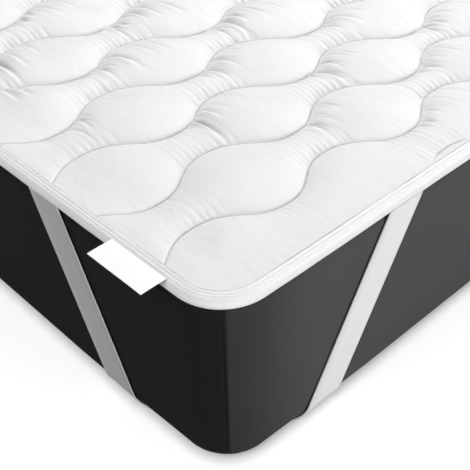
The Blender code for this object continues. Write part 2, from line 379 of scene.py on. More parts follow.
class Sheet:
    """Short way to write a material's or a group's nodes."""

    def __init__(self, tree: bpy.types.NodeTree) -> None:
        """Keep the tree.

        Args:
            tree: The node tree that is written to.
        """
        self.tree = tree

    def add(self, kind: str, inputs: dict[str, object] | None = None, **settings: object) -> bpy.types.Node:
        """Add a node.

        Args:
            kind: Blender's name of the node's type.
            inputs: Values, or sockets to link, by the input's name or number.
            settings: Attributes of the node itself.

        Returns:
            The new node.
        """
        node = self.tree.nodes.new(kind)
        for name, value in settings.items():
            setattr(node, name, value)
        for name, value in (inputs or {}).items():
            if isinstance(value, Socket):
                self.tree.links.new(value, node.inputs[name])
            else:
                node.inputs[name].default_value = value
        return node

    def number(self, operation: str, first: object, second: object = 0.0, third: object = 0.0) -> Socket:
        """Add a Math node.

        Args:
            operation: Its operation.
            first: Its first value or socket.
            second: Its second value or socket.
            third: Its third value or socket.

        Returns:
            Its result.
        """
        node = self.add("ShaderNodeMath", {0: first, 1: second, 2: third}, operation=operation)
        return node.outputs[0]

    def blend(self, factor: object, first: object, second: object) -> Socket:
        """Mix two colours.

        Args:
            factor: Share of the second one.
            first: Colour or socket.
            second: Colour or socket.

        Returns:
            The mixed colour.
        """
        node = self.add("ShaderNodeMix", {0: factor, 6: first, 7: second}, data_type="RGBA")
        return node.outputs[2]

    def group(self, name: GroupName, inputs: dict[str, object]) -> bpy.types.Node:
        """Add a shared group's node.

        Args:
            name: Which group.
            inputs: Values, or sockets to link, by the input's name.

        Returns:
            The new node.
        """
        return self.add("ShaderNodeGroup", inputs, node_tree=bpy.data.node_groups[name.value])


class GroupName(Enum):
    """Shader groups that several finishes share."""

    FIBRES = "loose_fibres"
    RIBS = "woven_ribs"
    SHADE = "painted_shade"


def new_group(
    name: GroupName, inputs: dict[str, str], outputs: dict[str, str]
) -> tuple[Sheet, dict[str, Socket], bpy.types.Node]:
    """Start a shader group.

    Args:
        name: Its name.
        inputs: Each input's name, and Vector, Float or Color.
        outputs: The same for its outputs.

    Returns:
        A sheet on the group's tree, its inputs by name, and the node that takes its outputs.
    """
    tree = bpy.data.node_groups.new(name.value, "ShaderNodeTree")
    for side, sockets in (("INPUT", inputs), ("OUTPUT", outputs)):
        for label, kind in sockets.items():
            tree.interface.new_socket(name=label, in_out=side, socket_type=f"NodeSocket{kind}")
    sheet = Sheet(tree)
    entry = sheet.add("NodeGroupInput")
    given = {label: entry.outputs[label] for label in inputs}
    return sheet, given, sheet.add("NodeGroupOutput")


def build_fibre_group() -> None:
    """Fine tangled fibres with a soft cloudiness, for cloth that has no clear weave."""
    sheet, given, leave = new_group(
        GroupName.FIBRES,
        {"Place": "Vector", "Fibre size": "Float", "Cloud size": "Float"},
        {"Height": "Float", "Cloud": "Float"},
    )
    for output, size, looks in (
        ("Height", "Fibre size", {"Detail": 3.0, "Roughness": 0.6, "Distortion": 0.8}),
        ("Cloud", "Cloud size", {"Detail": 2.0}),
    ):
        scale = sheet.number("DIVIDE", 1.0, given[size])
        noise = sheet.add("ShaderNodeTexNoise", {"Vector": given["Place"], "Scale": scale, **looks})
        sheet.tree.links.new(noise.outputs["Fac"], leave.inputs[output])


def build_rib_group(wobble_scale: float = 160.0, shares: tuple[float, float] = (0.65, 0.35)) -> None:
    """Woven ribs in two directions, from a map in metres.

    Args:
        wobble_scale: How fine the ribs' unevenness is.
        shares: How much of the height each direction has.
    """
    sheet, given, leave = new_group(
        GroupName.RIBS,
        {"Map": "Vector", "Rib pitch": "Float", "Cross pitch": "Float", "Unevenness": "Float"},
        {"Height": "Float"},
    )
    wobble = sheet.add("ShaderNodeTexNoise", {"Vector": given["Map"], "Scale": wobble_scale, "Detail": 2.0})
    centred = sheet.number("SUBTRACT", wobble.outputs["Fac"], 0.5)
    shift = sheet.number("MULTIPLY", centred, given["Unevenness"])
    axes = sheet.add("ShaderNodeSeparateXYZ", {0: given["Map"]})
    heights = []
    for axis, pitch in (("X", "Rib pitch"), ("Y", "Cross pitch")):
        turns = sheet.number("DIVIDE", axes.outputs[axis], given[pitch])
        angle = sheet.number("MULTIPLY", sheet.number("ADD", turns, shift), 2 * math.pi)
        heights.append(sheet.number("MULTIPLY_ADD", sheet.number("SINE", angle), 0.5, 0.5))
    first = sheet.number("MULTIPLY", heights[0], shares[0])
    height = sheet.number("MULTIPLY_ADD", heights[1], shares[1], first)
    sheet.tree.links.new(height, leave.inputs["Height"])


def build_shade_group() -> None:
    """Painted shade: a colour that gives way to a darker tone, on what looks along the bed or up, or in
    folds.
    """
    sheet, given, leave = new_group(
        GroupName.SHADE,
        {"Colour": "Color", "Tone": "Color", "Amount": "Float", "Strength": "Float"},
        {"Colour": "Color"},
    )
    share = sheet.number("MULTIPLY", given["Amount"], given["Strength"])
    shaded = sheet.blend(share, given["Colour"], given["Tone"])
    sheet.tree.links.new(shaded, leave.inputs["Colour"])


def new_material(name: str) -> tuple[bpy.types.Material, Sheet, bpy.types.Node]:
    """Start a material.

    Args:
        name: Its name.

    Returns:
        The material, a sheet on its tree, and its Principled shader.
    """
    material = bpy.data.materials.new(name)
    material.use_nodes = True
    return material, Sheet(material.node_tree), material.node_tree.nodes["Principled BSDF"]


def mark_facing(piece: bpy.types.Object, facing: np.ndarray | None) -> None:
    """Store the painted shade of each point of a piece, from how far it looks along the bed and how far it
    looks upwards.

    Args:
        piece: The piece, with its final mesh.
        facing: Direction that each point looks in, or None for the mesh's normals.
    """
    normals = np.empty(len(piece.data.vertices) * 3)
    piece.data.vertices.foreach_get("normal", normals)
    normals = normals.reshape(-1, 3)
    along = np.abs((normals if facing is None else facing)[:, 0])
    endwise_shade = GROWING_SHADE * smooth_step(along / SEAM_FACING)
    endwise_shade = endwise_shade + STEPPED_SHADE * smooth_step((along - SEAM_FACING + STEP_LEAD) / STEP_WIDTH)
    for name, values in ((ENDWISE_SHADE, endwise_shade), (TOP_SHADE, np.maximum(normals[:, 2], 0.0) ** 2)):
        piece.data.attributes.new(name, "FLOAT", "POINT").data.foreach_set("value", values)


class Shade(NamedTuple):
    """Painted shade: a darker colour that a finish takes on where a point attribute is 1."""

    attribute: str
    strength: float
    tone: Colour = BLACK


@dataclass(frozen=True, kw_only=True)
class Finish:
    """What every cloth has: two tones, a roughness that follows its relief, and its painted shades."""

    name: str
    light: Colour
    deep: Colour
    roughness: float
    rough_gain: float
    specular: float
    relief: float
    painted_shades: tuple[Shade, ...] = ()

    def wire(self, sheet: Sheet, shader: bpy.types.Node, tone: Socket, height: Socket) -> bpy.types.Node:
        """Wire the colour, the roughness and the relief to the shader.

        Args:
            sheet: The material's node sheet.
            shader: Its Principled shader.
            tone: Share of the light tone.
            height: Height of the relief, from 0 to 1.

        Returns:
            The relief's Bump node.
        """
        colour = sheet.blend(tone, self.deep, self.light)
        # Painted shades, each darkening the colour by its point attribute
        for shade in self.painted_shades:
            amount = sheet.add("ShaderNodeAttribute", attribute_name=shade.attribute).outputs["Fac"]
            values = {"Colour": colour, "Tone": shade.tone, "Amount": amount, "Strength": shade.strength}
            colour = sheet.group(GroupName.SHADE, values).outputs["Colour"]
        rough = sheet.number("MULTIPLY_ADD", height, self.rough_gain, self.roughness)
        bump = sheet.add("ShaderNodeBump", {"Height": height, "Distance": self.relief, "Strength": 1.0})
        shader.inputs["Specular IOR Level"].default_value = self.specular
        sheet.tree.links.new(colour, shader.inputs["Base Color"])
        sheet.tree.links.new(rough, shader.inputs["Roughness"])
        sheet.tree.links.new(bump.outputs["Normal"], shader.inputs["Normal"])
        return bump


class Wrinkles(NamedTuple):
    """Faint wrinkles that lie across the bed, turned from it by some degrees."""

    width: float
    length: float
    lean: float
    height: float


@dataclass(frozen=True, kw_only=True)
class ClothFinish(Finish):
    """Cloth with loose fibres: its tones lie in clouds, and it has a sheen."""

    sheen: float
    sheen_roughness: float
    fibre_size: float
    cloud_size: float
    fibre_share: float = 0.45
    rough_gain: float = 0.10
    wrinkles: Wrinkles | None = None

    def material(self) -> bpy.types.Material:
        """Make the material."""
        material, sheet, shader = new_material(self.name)
        place = sheet.add("ShaderNodeTexCoord").outputs["Object"]
        fibres = sheet.group(
            GroupName.FIBRES, {"Place": place, "Fibre size": self.fibre_size, "Cloud size": self.cloud_size}
        )
        cloud = sheet.number("MULTIPLY", fibres.outputs["Cloud"], 1.0 - self.fibre_share)
        tone = sheet.number("MULTIPLY_ADD", fibres.outputs["Height"], self.fibre_share, cloud)
        bump = self.wire(sheet, shader, tone, fibres.outputs["Height"])
        if self.wrinkles:
            sheet.tree.links.new(self.wrinkled(sheet, place, self.wrinkles), bump.inputs["Normal"])
        shader.inputs["Sheen Weight"].default_value = self.sheen
        shader.inputs["Sheen Roughness"].default_value = self.sheen_roughness
        return material

    def wrinkled(self, sheet: Sheet, place: Socket, wrinkles: Wrinkles) -> Socket:
        """Normals of the wrinkles, under the fibres.

        Args:
            sheet: The material's node sheet.
            place: Place on the piece.
            wrinkles: Their sizes.

        Returns:
            The normals.
        """
        turn = (0.0, 0.0, math.radians(wrinkles.lean))
        scale = (1 / wrinkles.width, 1 / wrinkles.length, 1 / wrinkles.width)
        drawn_out = sheet.add("ShaderNodeMapping", {"Vector": place, "Rotation": turn, "Scale": scale})
        looks = {"Scale": 1.0, "Detail": 1.0, "Distortion": 1.1}
        noise = sheet.add("ShaderNodeTexNoise", {"Vector": drawn_out.outputs["Vector"], **looks})
        sizes = {"Height": noise.outputs["Fac"], "Distance": wrinkles.height, "Strength": 1.0}
        return sheet.add("ShaderNodeBump", sizes).outputs["Normal"]


@dataclass(frozen=True, kw_only=True)
class RibFinish(Finish):
    """Woven tape, elastic or satin: ribs from the piece's own map, with painted shade that deepens the tone
    between them.
    """

    rib_pitch: float
    cross_pitch: float
    unevenness: float
    rough_gain: float = -0.15

    def material(self) -> bpy.types.Material:
        """Make the material."""
        material, sheet, shader = new_material(self.name)
        place = sheet.add("ShaderNodeUVMap", uv_map=CLOTH_MAP).outputs["UV"]
        pitches = {"Rib pitch": self.rib_pitch, "Cross pitch": self.cross_pitch}
        ribs = sheet.group(GroupName.RIBS, {"Map": place, **pitches, "Unevenness": self.unevenness})
        # The rib height sets the tone as well: painted shade in the grooves between the ribs
        self.wire(sheet, shader, ribs.outputs["Height"], ribs.outputs["Height"])
        return material


PAD_CLOTH = ClothFinish(
    name="brushed_pad_cloth",
    light=(0.725, 0.725, 0.730, 1.0),
    deep=(0.695, 0.695, 0.702, 1.0),
    roughness=0.80,
    sheen=0.30,
    sheen_roughness=0.5,
    specular=0.25,
    fibre_size=0.0011,
    cloud_size=0.030,
    relief=0.00008,
    wrinkles=Wrinkles(width=0.017, length=0.050, lean=14.0, height=0.0007),
    # Painted shade: grey in the folds, by how deep the cloth is gathered there
    painted_shades=(Shade(CREASE_SHADE, 0.72, (0.42, 0.42, 0.44, 1.0)),),
)
COVER_KNIT = ClothFinish(
    name="charcoal_knit_cover",
    light=(0.083, 0.083, 0.084, 1.0),
    deep=(0.065, 0.065, 0.066, 1.0),
    roughness=0.60,
    sheen=0.02,
    sheen_roughness=0.4,
    specular=0.12,
    fibre_size=0.0012,
    cloud_size=0.060,
    relief=0.00006,
    # Painted shade, darker on what looks along the bed
    painted_shades=(Shade(ENDWISE_SHADE, 0.87),),
)
EDGE_TAPE = RibFinish(
    name="woven_edge_tape",
    light=(0.94, 0.94, 0.945, 1.0),
    deep=(0.80, 0.80, 0.81, 1.0),
    roughness=0.88,
    specular=0.2,
    rib_pitch=0.0016,
    cross_pitch=0.0011,
    unevenness=0.8,
    relief=0.00018,
    # Painted shade, darker on what looks upwards
    painted_shades=(Shade(TOP_SHADE, 0.12),),
)
ELASTIC_RIB = RibFinish(
    name="ribbed_elastic",
    light=(0.93, 0.93, 0.935, 1.0),
    deep=(0.80, 0.80, 0.81, 1.0),
    roughness=0.83,
    specular=0.3,
    rib_pitch=0.0011,
    cross_pitch=0.0026,
    unevenness=0.35,
    relief=0.00016,
    # Painted shade, darker on what looks along the bed
    painted_shades=(Shade(ENDWISE_SHADE, 0.41),),
)
LABEL_SATIN = RibFinish(
    name="white_label_satin",
    light=(0.93, 0.93, 0.935, 1.0),
    deep=(0.90, 0.90, 0.905, 1.0),
    roughness=0.50,
    specular=0.5,
    rib_pitch=0.0009,
    cross_pitch=0.0007,
    unevenness=0.3,
    relief=0.00003,
)
STITCH_THREAD = ClothFinish(
    name="white_stitch_thread",
    light=(0.84, 0.84, 0.845, 1.0),
    deep=(0.72, 0.72, 0.73, 1.0),
    roughness=0.55,
    sheen=0.1,
    sheen_roughness=0.4,
    specular=0.4,
    fibre_size=0.0006,
    cloud_size=0.020,
    relief=0.00005,
)


# Quilted pad


class Fold(NamedTuple):
    """One fold that hangs from the +Y seam of a channel. Sizes are in millimetres."""

    channel: int
    turn: int
    start: float
    depth: float
    length: float
    sweep: float


class Neck(NamedTuple):
    """How strongly the cloth gathers at one narrow place of a channel."""

    channel: int
    turn: int
    ridges: float
    side_ridges: float


# Deep folds beside the narrow places. "start" is measured from the narrow place's middle along +X,
# and "sweep" is how far the fold runs along +X as it comes down from the seam.
FOLDS = (
    Fold(0, 1, 22, 1.4, 18, 14),
    Fold(0, 1, 38, 0.9, 22, 18),
    Fold(1, 1, 19, 1.8, 26, 9),
    Fold(1, 1, 53, 0.5, 30, 12),
    Fold(1, 2, 24, 1.7, 26, 22),
    Fold(1, 2, 42, 1.1, 26, 22),
    Fold(1, 2, 62, 0.6, 30, 20),
    Fold(2, 0, 28, 2.0, 48, 4),
    Fold(2, 0, 44, 0.6, 30, 10),
    Fold(2, 1, 16, 2.1, 40, 20),
    Fold(2, 1, 36, 1.0, 32, 14),
    Fold(2, 1, 62, 0.6, 36, 14),
    Fold(2, 2, 12, 2.0, 26, 12),
    Fold(2, 2, 30, 1.3, 30, 16),
    Fold(2, 2, 52, 1.1, 30, 18),
    Fold(3, 0, 30, 0.7, 26, 4),
    Fold(3, 1, 8, 1.2, 20, 8),
    Fold(3, 1, 20, 1.7, 36, 14),
    Fold(3, 1, 40, 1.5, 38, 16),
    Fold(3, 1, 66, 0.6, 32, 14),
    Fold(3, 2, 18, 2.1, 26, 22),
    Fold(3, 2, 38, 2.1, 46, 27),
    Fold(3, 2, 62, 1.1, 36, 20),
    Fold(4, 0, -69, 1.0, 36, -3),
    Fold(4, 0, -58, 1.2, 34, 0),
    Fold(4, 0, 22, 1.7, 34, 8),
    Fold(4, 0, 44, 1.9, 56, 18),
    Fold(4, 0, 74, 0.9, 50, 16),
    Fold(4, 0, 92, 0.6, 50, 14),
    Fold(4, 1, 9, 2.2, 30, 6),
    Fold(4, 1, 27, 1.7, 50, 8),
    Fold(4, 1, 44, 2.0, 36, 9),
    Fold(4, 1, 63, 1.3, 50, 14),
    Fold(4, 1, 84, 0.9, 50, 18),
    Fold(5, 0, 42, 1.9, 52, -4),
    Fold(5, 0, 56, 0.8, 50, 2),
    Fold(5, 0, 76, 0.7, 46, 6),
    Fold(5, 1, 10, 1.2, 40, 4),
    Fold(5, 1, 23, 2.1, 20, 8),
    Fold(5, 1, 46, 1.6, 40, 10),
    Fold(5, 1, 60, 1.7, 50, 12),
    Fold(5, 1, 76, 1.4, 60, 22),
    Fold(6, 0, 28, 2.1, 24, 8),
    Fold(6, 0, 42, 1.9, 20, 8),
    Fold(6, 0, 54, 1.5, 50, 22),
    Fold(6, 0, 76, 1.0, 50, 20),
)
NECKS = (
    Neck(0, 0, 0.45, 0.0),
    Neck(0, 1, 0.90, 0.2),
    Neck(1, 0, 0.40, 0.0),
    Neck(1, 1, 0.75, 0.3),
    Neck(1, 2, 1.00, 0.6),
    Neck(2, 0, 0.65, 0.2),
    Neck(2, 1, 0.90, 0.6),
    Neck(3, 0, 0.60, 0.0),
    Neck(3, 1, 0.80, 0.4),
    Neck(4, 0, 0.90, 0.5),
    Neck(5, 0, 0.90, 0.4),
)

class Patch(NamedTuple):
    """Grid of one channel, as rows across the bed by columns along it, with the channel's two sides."""

    channel: int
    x: np.ndarray
    y: np.ndarray
    low: np.ndarray
    high: np.ndarray


@dataclass(frozen=True)
class Quilting:
    """Wavy seams that run along the bed, each in step with the one after the next, and the crown between.

    Channel 0 lies between the -Y edge and seam 0, and the last one between the last seam and the +Y
    edge. One more seam on each side comes out from under the binding at its crests only.
    """

    outline: Outline
    seam_count: int = 10
    first_seam: float = 0.0819
    seam_spacing: float = 0.0795
    wave_length: float = 0.1668
    wave_height: float = 0.0168
    wave_squareness: float = 0.05
    wave_start: float = 0.0590
    drift: float = 0.0668
    drift_length: float = 1.66
    drift_reach: float = 0.313
    border_seam_fade: float = 0.012
    border_seam_start: float = 0.20
    border_seam_growth: float = 0.08
    edge_offset: float = -0.0090
    rim_level: float = 0.0076
    seam_level: float = 0.0046
    mean_crown: float = 0.0078
    crown_growth: float = 0.75
    arch_roundness: float = 0.60
    least_width: float = 0.0001
    groove_depth: float = 0.0028
    groove_width: float = 0.0007
    edge_rise: float = 0.045
    edge_crown_reach: float = 0.095

    def seam_y(self, index: int, x: np.ndarray) -> np.ndarray:
        """Where a seam lies across the bed.

        Args:
            index: Which seam, from -1 at the -Y side.
            x: Places along the bed.

        Returns:
            The seam's places across the bed.
        """
        middle = -self.outline.half_width + self.first_seam + index * self.seam_spacing
        from_edge = self.outline.half_width - abs(middle)
        along = x + self.outline.half_length
        bow = np.sin(np.pi * np.minimum(along / self.drift_length, 1.0)) ** 2
        drift = self.drift * smooth_step(from_edge / self.drift_reach) * bow
        turn = 2 * np.pi * (along - self.wave_start) / self.wave_length
        wave = np.cos(turn) - self.wave_squareness * np.cos(3 * turn)
        return middle - drift + self.wave_height * wave * (-1) ** index

    def border_seam(self, channel: int, x: np.ndarray) -> np.ndarray:
        """Where the seam lies that comes out from under the binding.

        Args:
            channel: The first channel or the last one.
            x: Places along the bed.

        Returns:
            The seam's places across the bed.
        """
        return self.seam_y(-1 if channel == 0 else self.seam_count, x)

    def neck_x(self, channel: int, turn: int) -> float:
        """Middle of one narrow place of a channel, along the bed.

        Args:
            channel: Which channel.
            turn: Which narrow place, from 0 at the -X end.

        Returns:
            Its place along the bed.
        """
        half_turn = 0.0 if channel % 2 else 0.5
        return -self.outline.half_length + self.wave_start + (turn + half_turn) * self.wave_length

    def arch(self, y: np.ndarray, low: np.ndarray, high: np.ndarray) -> np.ndarray:
        """Height of the crown between two seams. It is the higher, the further they are apart.

        Args:
            y: Places across the bed.
            low: The -Y seam there.
            high: The +Y seam there.

        Returns:
            Heights above the seams.
        """
        width = np.maximum(high - low, self.least_width)
        share = np.clip((y - low) / width, 0.0, 1.0)
        crown = self.mean_crown * (width / self.seam_spacing) ** self.crown_growth
        return crown * np.sin(np.pi * share) ** self.arch_roundness

    def border_weight(self, x: np.ndarray, border: np.ndarray) -> np.ndarray:
        """How strongly a seam at the border draws the pad in, by its depth inside the edge.

        Args:
            x: Places along the bed.
            border: The border seam's places across it.

        Returns:
            Shares from 0 to 1.
        """
        depth = self.outline.half_width_at(x, self.edge_offset) - np.abs(border)
        along = self.outline.half_length - np.abs(x)
        grown = smooth_step((along - self.border_seam_start) / self.border_seam_growth)
        return grown * smooth_step(depth / self.border_seam_fade)

    def shoulder(self, patch: Patch) -> np.ndarray:
        """Height that the cloth gains within the first millimetres from a seam.

        Args:
            patch: The channel's grid.

        Returns:
            Heights above the bottom of the seams.
        """
        groove = np.zeros_like(patch.x)
        if patch.channel > 0:
            groove = np.maximum(groove, np.exp(-np.maximum(patch.y - patch.low, 0.0) / self.groove_width))
        if patch.channel < self.seam_count:
            groove = np.maximum(groove, np.exp(-np.maximum(patch.high - patch.y, 0.0) / self.groove_width))
        if patch.channel in (0, self.seam_count):
            border = self.border_seam(patch.channel, patch.x)
            near = np.exp(-np.abs(patch.y - border) / self.groove_width)
            groove = np.maximum(groove, self.border_weight(patch.x, border) * near)
        return self.groove_depth * (1.0 - groove)

    def crown(self, patch: Patch) -> np.ndarray:
        """Height of a channel's crown. A seam at the border counts by its depth inside the edge.

        Args:
            patch: The channel's grid.

        Returns:
            Heights above the seams.
        """
        channel, x, y, low, high = patch
        plain = self.arch(y, low, high)
        if 0 < channel < self.seam_count:
            return plain
        border = self.border_seam(channel, x)
        outer = np.maximum(border, low) if channel == 0 else np.minimum(border, high)
        stitched = np.where(y < outer, self.arch(y, low, outer), self.arch(y, outer, high))
        return plain + self.border_weight(x, border) * (stitched - plain)

    def flat_edge(self, x: np.ndarray, y: np.ndarray) -> tuple[np.ndarray, np.ndarray]:
        """How the pad flattens at its edge.

        Args:
            x: Places along the bed.
            y: Places across the bed.

        Returns:
            The level of the seams there, and the share of its crown that the pad keeps.
        """
        inside = self.outline.depth_inside(x, y, self.edge_offset)
        base = self.rim_level + (self.seam_level - self.rim_level) * smooth_step(inside / self.edge_rise)
        return base, np.sin(np.pi / 2 * np.clip(inside / self.edge_crown_reach, 0.0, 1.0))


class Spot(NamedTuple):
    """The grid round one narrow place, with the source of its unevenness.

    "share" is the share of the way across the channel, and "below" the distance from its +Y seam.
    """

    middle: float
    x: np.ndarray
    share: np.ndarray
    below: np.ndarray
    dice: np.random.Generator


@dataclass(frozen=True)
class Gathers:
    """Folds and fine ridges that the quilting thread pulls into the cloth."""

    quilting: Quilting
    neck_before: float = 0.125
    neck_after: float = 0.145
    ridge_pitch: float = 0.0067
    ridge_height: float = 0.0027
    ridge_width: float = 0.0017
    ridge_reach: int = 5
    ridge_fade: float = 0.60
    ridge_bulge: float = 0.0010
    ridge_bulge_growth: float = 0.0050
    ridge_lean: float = 0.001
    ridge_lean_growth: float = 0.006
    ridge_low_end: float = 0.24
    ridge_high_end: float = 0.20
    ridge_low_rise: float = 0.07
    ridge_high_rise: float = 0.05
    side_count: int = 4
    side_start: float = 0.030
    side_pitch: float = 0.0175
    side_height: float = 0.0014
    side_width: float = 0.0021
    side_rise: float = 0.006
    side_fade: float = 0.18
    pinch_first: int = -4
    pinch_last: int = 5
    pinch_pitch: float = 0.0080
    pinch_depth: float = 0.0016
    pinch_length: float = 0.012
    pinch_width: float = 0.0017
    pinch_rise: float = 0.0015
    pinch_slant: float = 0.8
    fold_width: float = 0.0021
    fold_width_evenness: float = 0.3
    fold_taper: tuple[float, float] = (1.1, 0.4)
    fold_growth: float = 3.5
    fold_evenness: float = 0.45
    fold_rise: float = 0.0030
    fold_bow: float = 0.003
    fold_tail: float = 1.35
    fold_tail_fade: float = 1.5
    rim_height: float = 0.45
    rim_place: float = 2.4
    rim_width: float = 1.6
    least_sweep: float = 0.004
    unseen_start: float = 10.0
    unseen_pitch: float = 18.0
    unseen_fade: float = 0.12
    ripple_start: float = 0.012
    ripple_reach: float = 0.045
    ripple_pitch: float = 0.0078
    ripple_depth: float = 0.0022
    ripple_width: float = 0.0012
    least_room: float = 0.0025
    pucker_pitch: float = 0.0050
    pucker_height: float = 0.00022
    pucker_reach: float = 0.006
    pucker_rise: float = 0.001
    filling_waves: int = 10
    filling_height: float = 0.00022
    edge_fade: float = 0.022
    filling_seed: int = 7
    neck_seed: int = 17

    def ridges(self, spot: Spot, strength: float) -> np.ndarray:
        """Fine ridges that cross a narrow place from seam to seam.

        Args:
            spot: The grid round the narrow place.
            strength: How strongly the cloth gathers there.

        Returns:
            Heights.
        """
        share, dice = spot.share, spot.dice
        total = np.zeros_like(spot.x)
        low_end = hump(share, self.ridge_low_end)
        high_end = hump(1.0 - share, self.ridge_high_end)
        ends = smooth_step(share / self.ridge_low_rise) * smooth_step((1.0 - share) / self.ridge_high_rise)
        for step in range(-self.ridge_reach, self.ridge_reach + 1):
            right = max(step, 0) / self.ridge_reach
            start = spot.middle + self.ridge_pitch * (step - 0.5 + dice.uniform(-0.22, 0.22))
            bulge = self.ridge_bulge + self.ridge_bulge_growth * right * dice.uniform(0.6, 1.3)
            lean = self.ridge_lean - self.ridge_lean_growth * right * dice.uniform(0.4, 1.4)
            line = start + bulge * np.sin(np.pi * share) + lean * (share - 0.5)
            fade = 1.0 - self.ridge_fade * (abs(step) / self.ridge_reach) ** 2
            height = self.ridge_height * strength * fade * dice.uniform(0.5, 1.3)
            body = dice.uniform(0.08, 0.28) + dice.uniform(0.7, 1.1) * low_end
            body = body + dice.uniform(0.2, 0.8) * high_end
            width = self.ridge_width * dice.uniform(0.85, 1.2)
            total -= height * ends * body * crease(spot.x - line, width, 0.15)
        return total

    def side_ridges(self, spot: Spot, strength: float) -> np.ndarray:
        """Thin ridges before a narrow place, which run down towards it from the +Y seam.

        Args:
            spot: The grid round the narrow place.
            strength: How strongly the cloth gathers there.

        Returns:
            Heights.
        """
        below, dice = spot.below, spot.dice
        total = np.zeros_like(spot.x)
        for step in range(self.side_count):
            start = spot.middle - self.side_start - self.side_pitch * (step + dice.uniform(-0.2, 0.2))
            length = dice.uniform(0.032, 0.055)
            line = start + dice.uniform(0.008, 0.016) * below / length
            fade = (1.0 - np.exp(-below / self.side_rise)) * (1.0 - smooth_step(below / length))
            height = self.side_height * strength * dice.uniform(0.5, 1.1) * (1.0 - self.side_fade * step)
            total -= height * fade * crease(spot.x - line, self.side_width * dice.uniform(0.8, 1.3), 0.15)
        return total

    def pinches(self, spot: Spot, strength: float) -> np.ndarray:
        """Short slanting hollows along the +Y seam of a narrow place.

        Args:
            spot: The grid round the narrow place.
            strength: How strongly the cloth gathers there.

        Returns:
            Heights, which are negative.
        """
        below, dice = spot.below, spot.dice
        total = np.zeros_like(spot.x)
        for step in range(self.pinch_first, self.pinch_last + 1):
            start = spot.middle + self.pinch_pitch * (step + dice.uniform(-0.25, 0.25))
            length = self.pinch_length * dice.uniform(0.7, 1.4)
            fade = (1.0 - np.exp(-below / self.pinch_rise)) * (1.0 - smooth_step(below / length))
            depth = self.pinch_depth * strength * dice.uniform(0.5, 1.3)
            total -= depth * fade * crease(spot.x - start - self.pinch_slant * below, self.pinch_width, 0.2)
        return total

    def swept(self, below: np.ndarray, sweep: float) -> np.ndarray:
        """How far a fold has run along +X on its way down from the seam.

        Args:
            below: Distance from the seam.
            sweep: How far it runs in all.

        Returns:
            Distances.
        """
        return sweep * (1.0 - np.exp(-below / max(abs(sweep), self.least_sweep)))

    def fold(self, spot: Spot, row: Fold) -> np.ndarray:
        """One deep fold, with a low ridge on its -X side.

        Args:
            spot: The grid round the narrow place.
            row: The fold's sizes.

        Returns:
            Heights.
        """
        below = spot.below
        start, length, sweep = (value / 1000 for value in (row.start, row.length, row.sweep))
        depth = self.fold_growth * row.depth**self.fold_evenness / 1000
        line = spot.middle + start + self.swept(below, sweep) - self.fold_bow * (below / length) ** 2
        tail = smooth_step(below / (length * self.fold_tail)) ** self.fold_tail_fade
        fade = (1.0 - np.exp(-below / self.fold_rise)) * (1.0 - tail)
        widest, taper = self.fold_taper
        width = self.fold_width * row.depth**self.fold_width_evenness
        width = width * (widest - taper * below / (length + below))
        side = spot.x - line
        rim = self.rim_height * hump(side + self.rim_place * width, self.rim_width * width)
        return depth * fade * (rim - crease(side, width, 0.3))

    def ripples(self, spot: Spot, rows: list[Fold]) -> np.ndarray:
        """Thin shallow folds that run beside the deep ones of one narrow place.

        Args:
            spot: The grid round the narrow place.
            rows: The deep folds there.

        Returns:
            Heights.
        """
        below, dice = spot.below, spot.dice
        total = np.zeros_like(spot.x)
        last = max(row.start for row in rows) / 1000
        for start in np.arange(self.ripple_start, last + self.ripple_reach, self.ripple_pitch):
            nearest = min(rows, key=lambda row: abs(row.start / 1000 - start))
            sweep = (nearest.sweep + dice.uniform(0.0, 6.0)) / 1000
            length = dice.uniform(0.025, 0.060)
            top = spot.middle + start + self.ripple_pitch * dice.uniform(-0.3, 0.3)
            line = top + self.swept(below, sweep)
            fade = (1.0 - np.exp(-below / self.fold_rise)) * (1.0 - smooth_step(below / length))
            depth = self.ripple_depth * dice.uniform(0.4, 1.2)
            total -= depth * fade * crease(spot.x - line, self.ripple_width * dice.uniform(0.8, 1.3), 0.2)
        return total

    def unseen_folds(self, channel: int, turn: int, dice: np.random.Generator) -> list[Fold]:
        """Folds for a narrow place that the table doesn't cover, in the sizes of those that it does.

        Args:
            channel: Which channel.
            turn: Which narrow place.
            dice: Source of the unevenness.

        Returns:
            The folds.
        """
        count = int(dice.integers(3, 6))
        starts = self.unseen_start + self.unseen_pitch * np.arange(count) + dice.uniform(-4, 4, count)
        folds = []
        for step, start in enumerate(starts):
            depth = dice.uniform(1.0, 2.1) * (1 - self.unseen_fade * step)
            folds.append(Fold(channel, turn, start, depth, dice.uniform(24, 50), dice.uniform(6, 22)))
        return folds

    def puckers(self, x: np.ndarray, seam_distance: np.ndarray, seam: int) -> np.ndarray:
        """Small uneven waves that follow the stitches of one seam.

        Args:
            x: Places along the bed.
            seam_distance: Distance from the seam.
            seam: Which seam.

        Returns:
            Heights.
        """
        drift = 1.7 * seam + waves(x, (1.4, 37.0, seam), (0.9, 83.0, 2.1 * seam))
        wave = np.cos(2 * np.pi * x / self.pucker_pitch + drift)
        fade = np.exp(-seam_distance / self.pucker_reach) * (1 - np.exp(-seam_distance / self.pucker_rise))
        return self.pucker_height * wave * fade

    def unevenness(self, x: np.ndarray, y: np.ndarray) -> np.ndarray:
        """Wide, shallow unevenness of the filling.

        Args:
            x: Places along the bed.
            y: Places across the bed.

        Returns:
            Heights.
        """
        dice = np.random.default_rng(self.filling_seed)
        total = np.zeros_like(x)
        for _ in range(self.filling_waves):
            angle = dice.uniform(0, np.pi)
            length = dice.uniform(0.035, 0.12)
            phase = dice.uniform(0, 2 * np.pi)
            total += np.sin(2 * np.pi * (x * np.cos(angle) + y * np.sin(angle)) / length + phase)
        return self.filling_height * total

